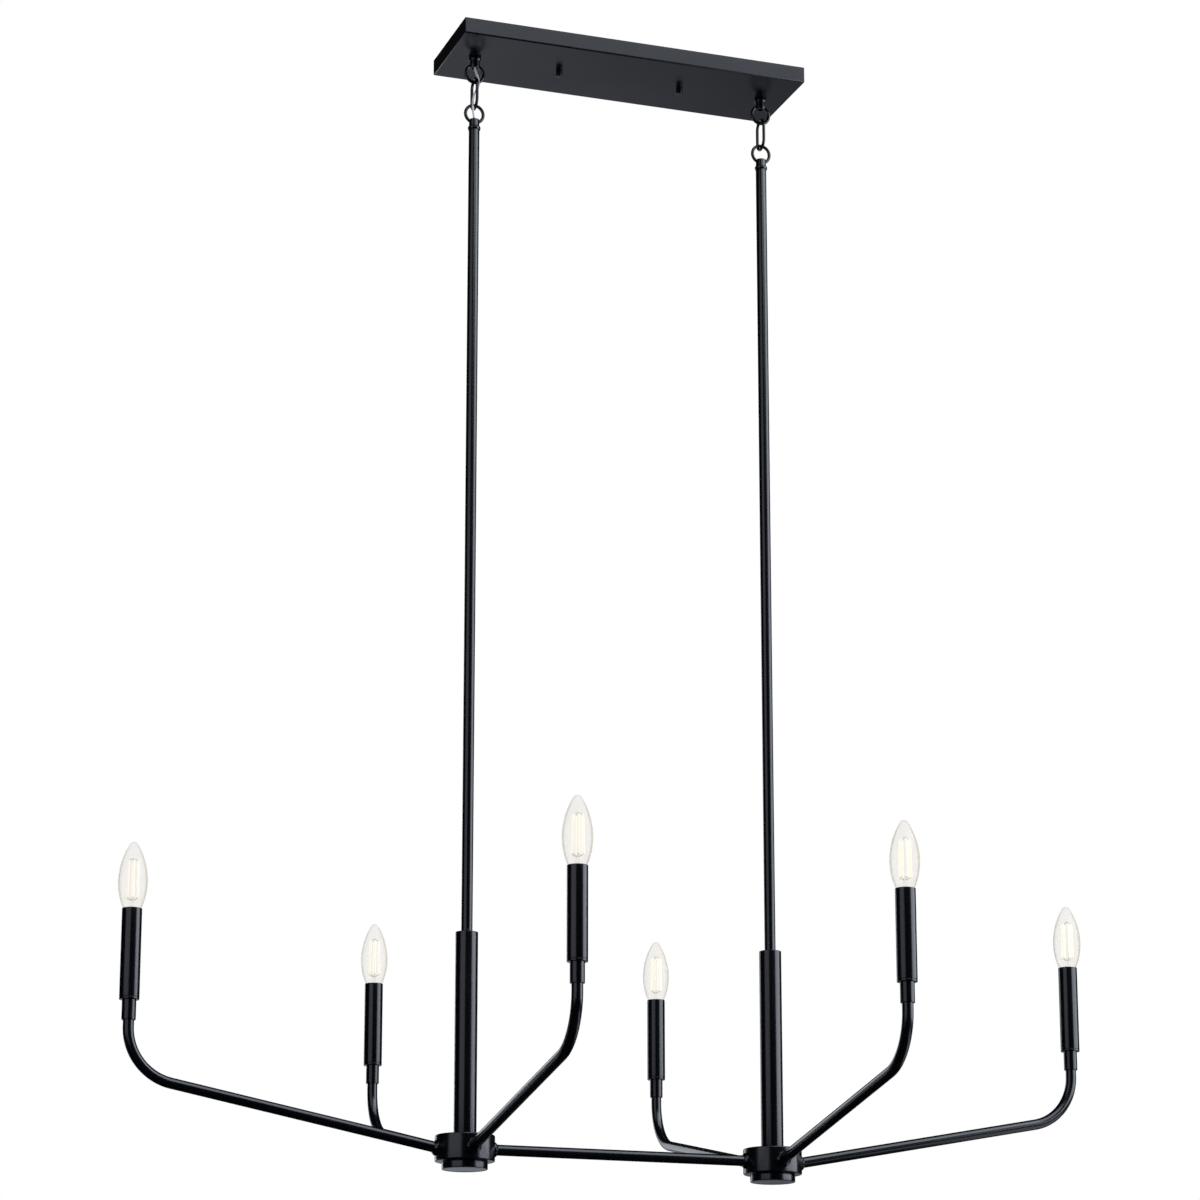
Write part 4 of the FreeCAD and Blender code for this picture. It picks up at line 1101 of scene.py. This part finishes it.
def makeCandles():
    s = candleSizes
    foot, spigotTop = (corner.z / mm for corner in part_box("cup_left_end"))
    shelf, top = (corner.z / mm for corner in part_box("candle_sleeve_left_end"))
    cup = roundedOutline((
        (s["boreRadius"], foot + s["armSocket"], 0),
        (s["boreRadius"], foot, 0.3),
        (s["cupOuter"], foot, 0.45),
        (s["cupOuter"], shelf - s["lip"], 0.3),
        (s["sleeveOuter"], shelf - s["lip"], 0.5),
        (s["sleeveOuter"], shelf - s["lipGap"], 0.45),
        (s["sleeveInner"] - s["spigotPlay"], shelf - s["lipGap"], 0),
        (s["sleeveInner"] - s["spigotPlay"], spigotTop, 0.4),
        (s["wireHole"], spigotTop, 0),
        (s["wireHole"], foot + s["armSocket"], 0),
    ))
    sleeve = roundedOutline((
        (s["sleeveInner"], shelf, 0),
        (s["sleeveOuter"], shelf, 0.45),
        (s["sleeveOuter"], top, 0.4),
        (s["sleeveInner"], top, 0.25),
    ))
    cups = [f"cup_{name}" for name in armNames]
    sleeves = [f"candle_sleeve_{name}" for name in armNames]
    seatParts("candleCups", turnedMesh("candleCup", cup, s["cupAround"]), onAxes(cups), paint,
              "fixture", cups)
    seatParts("candleSleeves", turnedMesh("candleSleeve", sleeve, s["sleeveAround"]),
              onAxes(sleeves), paint, "fixture", sleeves)


bulbSizes = {
    "above": 73.9,
    "widest": 16.2,
    "widestUp": 29.4,
    "flank": 80.95,
    "mouth": 9.95,
    "neck": 8.0,
    "neckBelow": 9.0,
    "neckStraight": 2.5,
    "neckFlare": 0.5,
    "flareUp": 5.0,
    "wall": 0.8,
    "lowSteps": 12,
    "flankSteps": 24,
    "tipSteps": 8,
    "around": 96,
}


def bulbOutline(inset):
    # from the neck's foot up to the tip, in millimetres from the sleeve's top
    s = bulbSizes
    rise = s["above"] - s["widestUp"]
    centre = s["flank"] - s["widest"]
    tip = (s["flank"] ** 2 - centre ** 2 - rise ** 2) / (2 * (s["flank"] - rise))
    drop = s["widestUp"]
    lowCentre = (drop ** 2 + s["mouth"] ** 2 - s["widest"] ** 2) / (2 * (s["widest"] - s["mouth"]))
    lowFlank = lowCentre + s["widest"]
    neck = s["neck"] - inset
    points = [
        (neck, -s["neckBelow"]),
        (neck, -s["neckBelow"] + s["neckStraight"]),
        (neck + s["neckFlare"], -s["neckBelow"] + s["flareUp"]),
    ]
    for step in range(s["lowSteps"] + 1):
        z = drop * step / s["lowSteps"]
        points.append((math.sqrt((lowFlank - inset) ** 2 - (z - drop) ** 2) - lowCentre, z))
    tipCentre = s["above"] - tip
    meet = math.atan2(tipCentre - drop, centre)
    for step in range(1, s["flankSteps"] + 1):
        turn = meet * step / s["flankSteps"]
        points.append(((s["flank"] - inset) * math.cos(turn) - centre,
                       drop + (s["flank"] - inset) * math.sin(turn)))
    for step in range(1, s["tipSteps"] + 1):
        turn = meet + (math.pi / 2 - meet) * step / s["tipSteps"]
        points.append(((tip - inset) * math.cos(turn), tipCentre + (tip - inset) * math.sin(turn)))
    return points


def makeBulbs():
    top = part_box("candle_sleeve_left_end")[1].z
    outside = bulbOutline(0)
    inside = bulbOutline(bulbSizes["wall"])
    outline = [Vector((r * mm, z * mm + top)) for r, z in outside + inside[::-1]]
    names = [f"bulb_glass_{name}" for name in armNames]
    mesh = turnedMesh("bulbGlass", outline, bulbSizes["around"])
    seatParts("bulbGlass", mesh, onAxes(names), glass, "fixture", names)


filamentSizes = {
    "top": 53.0,
    "low": 12.0,
    "count": 6,
    "firstTurn": 25,
    "spread": 6.8,
    "lean": 0.9,
    "radius": 1.05,
    "wire": 0.25,
    "wireSides": 8,
    "hookUp": 2.5,
    "wireFootDown": 3.0,
    "wireFootSpread": 1.4,
}
mountSizes = {
    "top": 13.0,
    "foot": -8.0,
    "flare": 6.4,
    "skirt": 5.6,
    "skirtUp": 3.0,
    "pinch": 2.3,
    "pinchUp": 11.0,
    "head": 1.9,
    "around": 36,
}


def rodInto(bm, start, end, radius, corners=12):
    axis = (end - start).normalized()
    side = axis.orthogonal().normalized()
    other = axis.cross(side)
    rings = []
    for centre in (start, end):
        ring = []
        for corner in range(corners):
            turn = 2 * math.pi * corner / corners
            ring.append(bm.verts.new(centre + (side * math.cos(turn) + other * math.sin(turn)) * radius))
        rings.append(ring)
    for corner in range(corners):
        follow = (corner + 1) % corners
        bm.faces.new((rings[0][corner], rings[0][follow], rings[1][follow], rings[1][corner]))
    bm.faces.new(rings[0])
    bm.faces.new(rings[1])


def makeFilaments(top, seats):
    # lit strips in a ring, each with a thin wire up to the hook and one down to the mount
    s = filamentSizes
    wireRadius = s["wire"] * mm
    sticks = bmesh.new()
    wires = bmesh.new()
    for step in range(s["count"]):
        turn = math.radians(s["firstTurn"] + 360 * step / s["count"])
        out = Vector((math.cos(turn), math.sin(turn), 0))
        high = out * (s["spread"] - s["lean"]) * mm + Vector((0, 0, top + s["top"] * mm))
        low = out * s["spread"] * mm + Vector((0, 0, top + s["low"] * mm))
        hook = Vector((0, 0, top + (s["top"] + s["hookUp"]) * mm))
        root = Vector((0, 0, top + (s["low"] - s["wireFootDown"]) * mm)) + out * s["wireFootSpread"] * mm
        rodInto(sticks, low, high, s["radius"] * mm)
        rodInto(wires, high, hook, wireRadius, s["wireSides"])
        rodInto(wires, low, root, wireRadius, s["wireSides"])
    seatParts("filaments", finishMesh(sticks, "filamentStick"), seats, glow, "fixture",
              ("bulb_filaments",))
    seatParts("filamentWires", finishMesh(wires, "filamentWire"), seats, filamentWire, "fixture", ())


def makeMounts(top, seats):
    # the glass stem inside each bulb
    s = mountSizes
    foot = top / mm + s["foot"]
    head = top / mm + s["top"]
    mount = roundedOutline((
        (0, foot, 0),
        (s["flare"], foot, 0.3),
        (s["skirt"], foot + s["skirtUp"], 1.0),
        (s["pinch"], foot + s["pinchUp"], 2.0),
        (s["head"], head, 0.8),
        (0, head, 0),
    ), 5)
    seatParts("bulbStems", turnedMesh("bulbStem", mount, s["around"]), seats, mountGlass, "fixture", ())


makeCandles()
makeBulbs()
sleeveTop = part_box("candle_sleeve_left_end")[1].z
bulbSeats = onAxes([f"bulb_glass_{name}" for name in armNames])
makeFilaments(sleeveTop, bulbSeats)
makeMounts(sleeveTop, bulbSeats)
print("candles made")


# studio

studio = {
    "floorHeight": -2.35,
    "floorHalf": 14.0,
    "floorColour": (0.84, 0.81, 0.76, 1),
    "floorMiddle": (1.2, -2.2, -2.35),
    "floorSpan": (2.5, 7.5),
    "floorShown": (0.14, 0.84),
    "backdropInGloss": 0.56,
    "backdropTint": (0.83, 0.88, 1.0, 1),
    "backdropSpan": (2.6, 4.6),
    "asideSpan": (0.29, 0.46),
    "asideShare": 0.43,
    "roomColour": (1, 1, 1, 1),
    "roomInGloss": 0.012,
    "roomFill": 0.2,
}
boxColour = (0.9, 0.94, 1.0)
softBoxes = {
    "rightBox": {
        "spot": (2.145, -1.115, 0.15),
        "aim": (-0.02, 0.24, 0.15),
        "size": (2.28, 3.0),
        "level": 4.5,
    },
    "leftBox": {
        "spot": (-2.43, -1.52, 0.15),
        "aim": (-0.19, 0.0, 0.15),
        "size": (2.58, 3.0),
        "level": 1.05,
    },
    "topBox": {
        "spot": (1.74, -4.2, 4.77),
        "aim": (0.84, -2.0, -1.33),
        "size": (7.2, 6.26),
        "level": 3.5,
    },
    "rearBox": {
        "spot": (-0.85, 3.2, -1.0),
        "aim": (0.0, 0.0, -1.0),
        "size": (1.0, 2.6),
        "level": 2.2,
    },
    "lowBox": {
        "spot": (2.3, -0.9, -2.3),
        "aim": (2.3, -0.9, 0.0),
        "size": (2.2, 2.6),
        "level": 1.3,
    },
}


def seenDirectly(tree, path):
    # by the camera, also through glass
    return addMath(tree, "MAXIMUM", path.outputs["Is Camera Ray"], path.outputs["Is Transmission Ray"])


def mixShaders(tree, share, first, second):
    mix = tree.nodes.new("ShaderNodeMixShader")
    tree.links.new(share, mix.inputs["Fac"])
    tree.links.new(first, mix.inputs[1])
    tree.links.new(second, mix.inputs[2])
    return mix.outputs["Shader"]


def makeWorld():
    # white to the camera, a low fill to matt surfaces and dim in glossy ones
    world = bpy.data.worlds.new("studioRoom")
    world.use_nodes = True
    scene.world = world
    tree = world.node_tree
    tree.nodes.clear()
    path = tree.nodes.new("ShaderNodeLightPath")
    unseen = addRange(tree, path.outputs["Is Glossy Ray"], (0, 1),
                      (studio["roomFill"], studio["roomInGloss"]))
    strength = tree.nodes.new("ShaderNodeMix")
    strength.data_type = "FLOAT"
    strength.inputs["B"].default_value = 1.0
    tree.links.new(seenDirectly(tree, path), strength.inputs["Factor"])
    tree.links.new(unseen, strength.inputs["A"])
    background = tree.nodes.new("ShaderNodeBackground")
    background.inputs["Color"].default_value = studio["roomColour"]
    tree.links.new(strength.outputs["Result"], background.inputs["Strength"])
    output = tree.nodes.new("ShaderNodeOutputWorld")
    tree.links.new(background.outputs["Background"], output.inputs["Surface"])


def floorShader(tree, path, coords):
    # matt, and to the camera it fades to white with distance
    distance = tree.nodes.new("ShaderNodeVectorMath")
    distance.operation = "DISTANCE"
    distance.inputs[1].default_value = studio["floorMiddle"]
    tree.links.new(coords.outputs["Object"], distance.inputs[0])
    far = addRange(tree, distance.outputs["Value"], studio["floorSpan"], studio["floorShown"],
                   smooth=True)
    shine = tree.nodes.new("ShaderNodeEmission")
    tree.links.new(addMath(tree, "MULTIPLY", seenDirectly(tree, path), far), shine.inputs["Strength"])
    matt = tree.nodes.new("ShaderNodeBsdfDiffuse")
    matt.inputs["Color"].default_value = studio["floorColour"]
    both = tree.nodes.new("ShaderNodeAddShader")
    tree.links.new(matt.outputs["BSDF"], both.inputs[0])
    tree.links.new(shine.outputs["Emission"], both.inputs[1])
    return both.outputs["Shader"]


def backdropShader(tree, coords):
    # what glossy black mirrors: dim near by, pale far behind the object and less pale to its right
    split = tree.nodes.new("ShaderNodeSeparateXYZ")
    tree.links.new(coords.outputs["Object"], split.inputs["Vector"])
    fade = addRange(tree, split.outputs["Y"], studio["backdropSpan"],
                    (studio["roomInGloss"], studio["backdropInGloss"]), smooth=True)
    slant = addMath(tree, "DIVIDE", split.outputs["X"], split.outputs["Y"])
    aside = addRange(tree, slant, studio["asideSpan"], (1.0, studio["asideShare"]))
    backdrop = tree.nodes.new("ShaderNodeEmission")
    backdrop.inputs["Color"].default_value = studio["backdropTint"]
    tree.links.new(addMath(tree, "MULTIPLY", fade, aside), backdrop.inputs["Strength"])
    return backdrop.outputs["Emission"]


def makeFloorFinish():
    material = bpy.data.materials.new("paleFloor")
    material.use_nodes = True
    tree = material.node_tree
    tree.nodes.clear()
    path = tree.nodes.new("ShaderNodeLightPath")
    coords = tree.nodes.new("ShaderNodeTexCoord")
    fromAbove = mixShaders(tree, path.outputs["Is Glossy Ray"], floorShader(tree, path, coords),
                           backdropShader(tree, coords))
    face = tree.nodes.new("ShaderNodeNewGeometry")
    clear = tree.nodes.new("ShaderNodeBsdfTransparent")  # what the floor is when seen from below
    oneSided = mixShaders(tree, face.outputs["Backfacing"], fromAbove, clear.outputs["BSDF"])
    output = tree.nodes.new("ShaderNodeOutputMaterial")
    tree.links.new(oneSided, output.inputs["Surface"])
    return material


def makeFloor():
    mesh = bpy.data.meshes.new("studioFloor")
    half = studio["floorHalf"]
    z = studio["floorHeight"]
    corners = [(-half, -half, z), (half, -half, z), (half, half, z), (-half, half, z)]
    mesh.from_pydata(corners, [], [(0, 1, 2, 3)])
    mesh.materials.append(makeFloorFinish())
    addPiece("studioFloor", mesh)


def makeLights():
    for name, box in softBoxes.items():
        light = bpy.data.lights.new(name, "AREA")
        light.shape = "RECTANGLE"
        light.size, light.size_y = box["size"]
        light.color = boxColour
        light.energy = box["level"] * math.pi * light.size * light.size_y
        lamp = bpy.data.objects.new(name, light)
        lamp.location = box["spot"]
        aim = Vector(box["aim"]) - Vector(box["spot"])
        lamp.rotation_euler = aim.to_track_quat("-Z", "Y").to_euler()
        lamp.visible_camera = False
        lamp.visible_transmission = False
        scene.collection.objects.link(lamp)


makeWorld()
makeFloor()
makeLights()
scene.view_settings.view_transform = "Standard"
print("studio made")
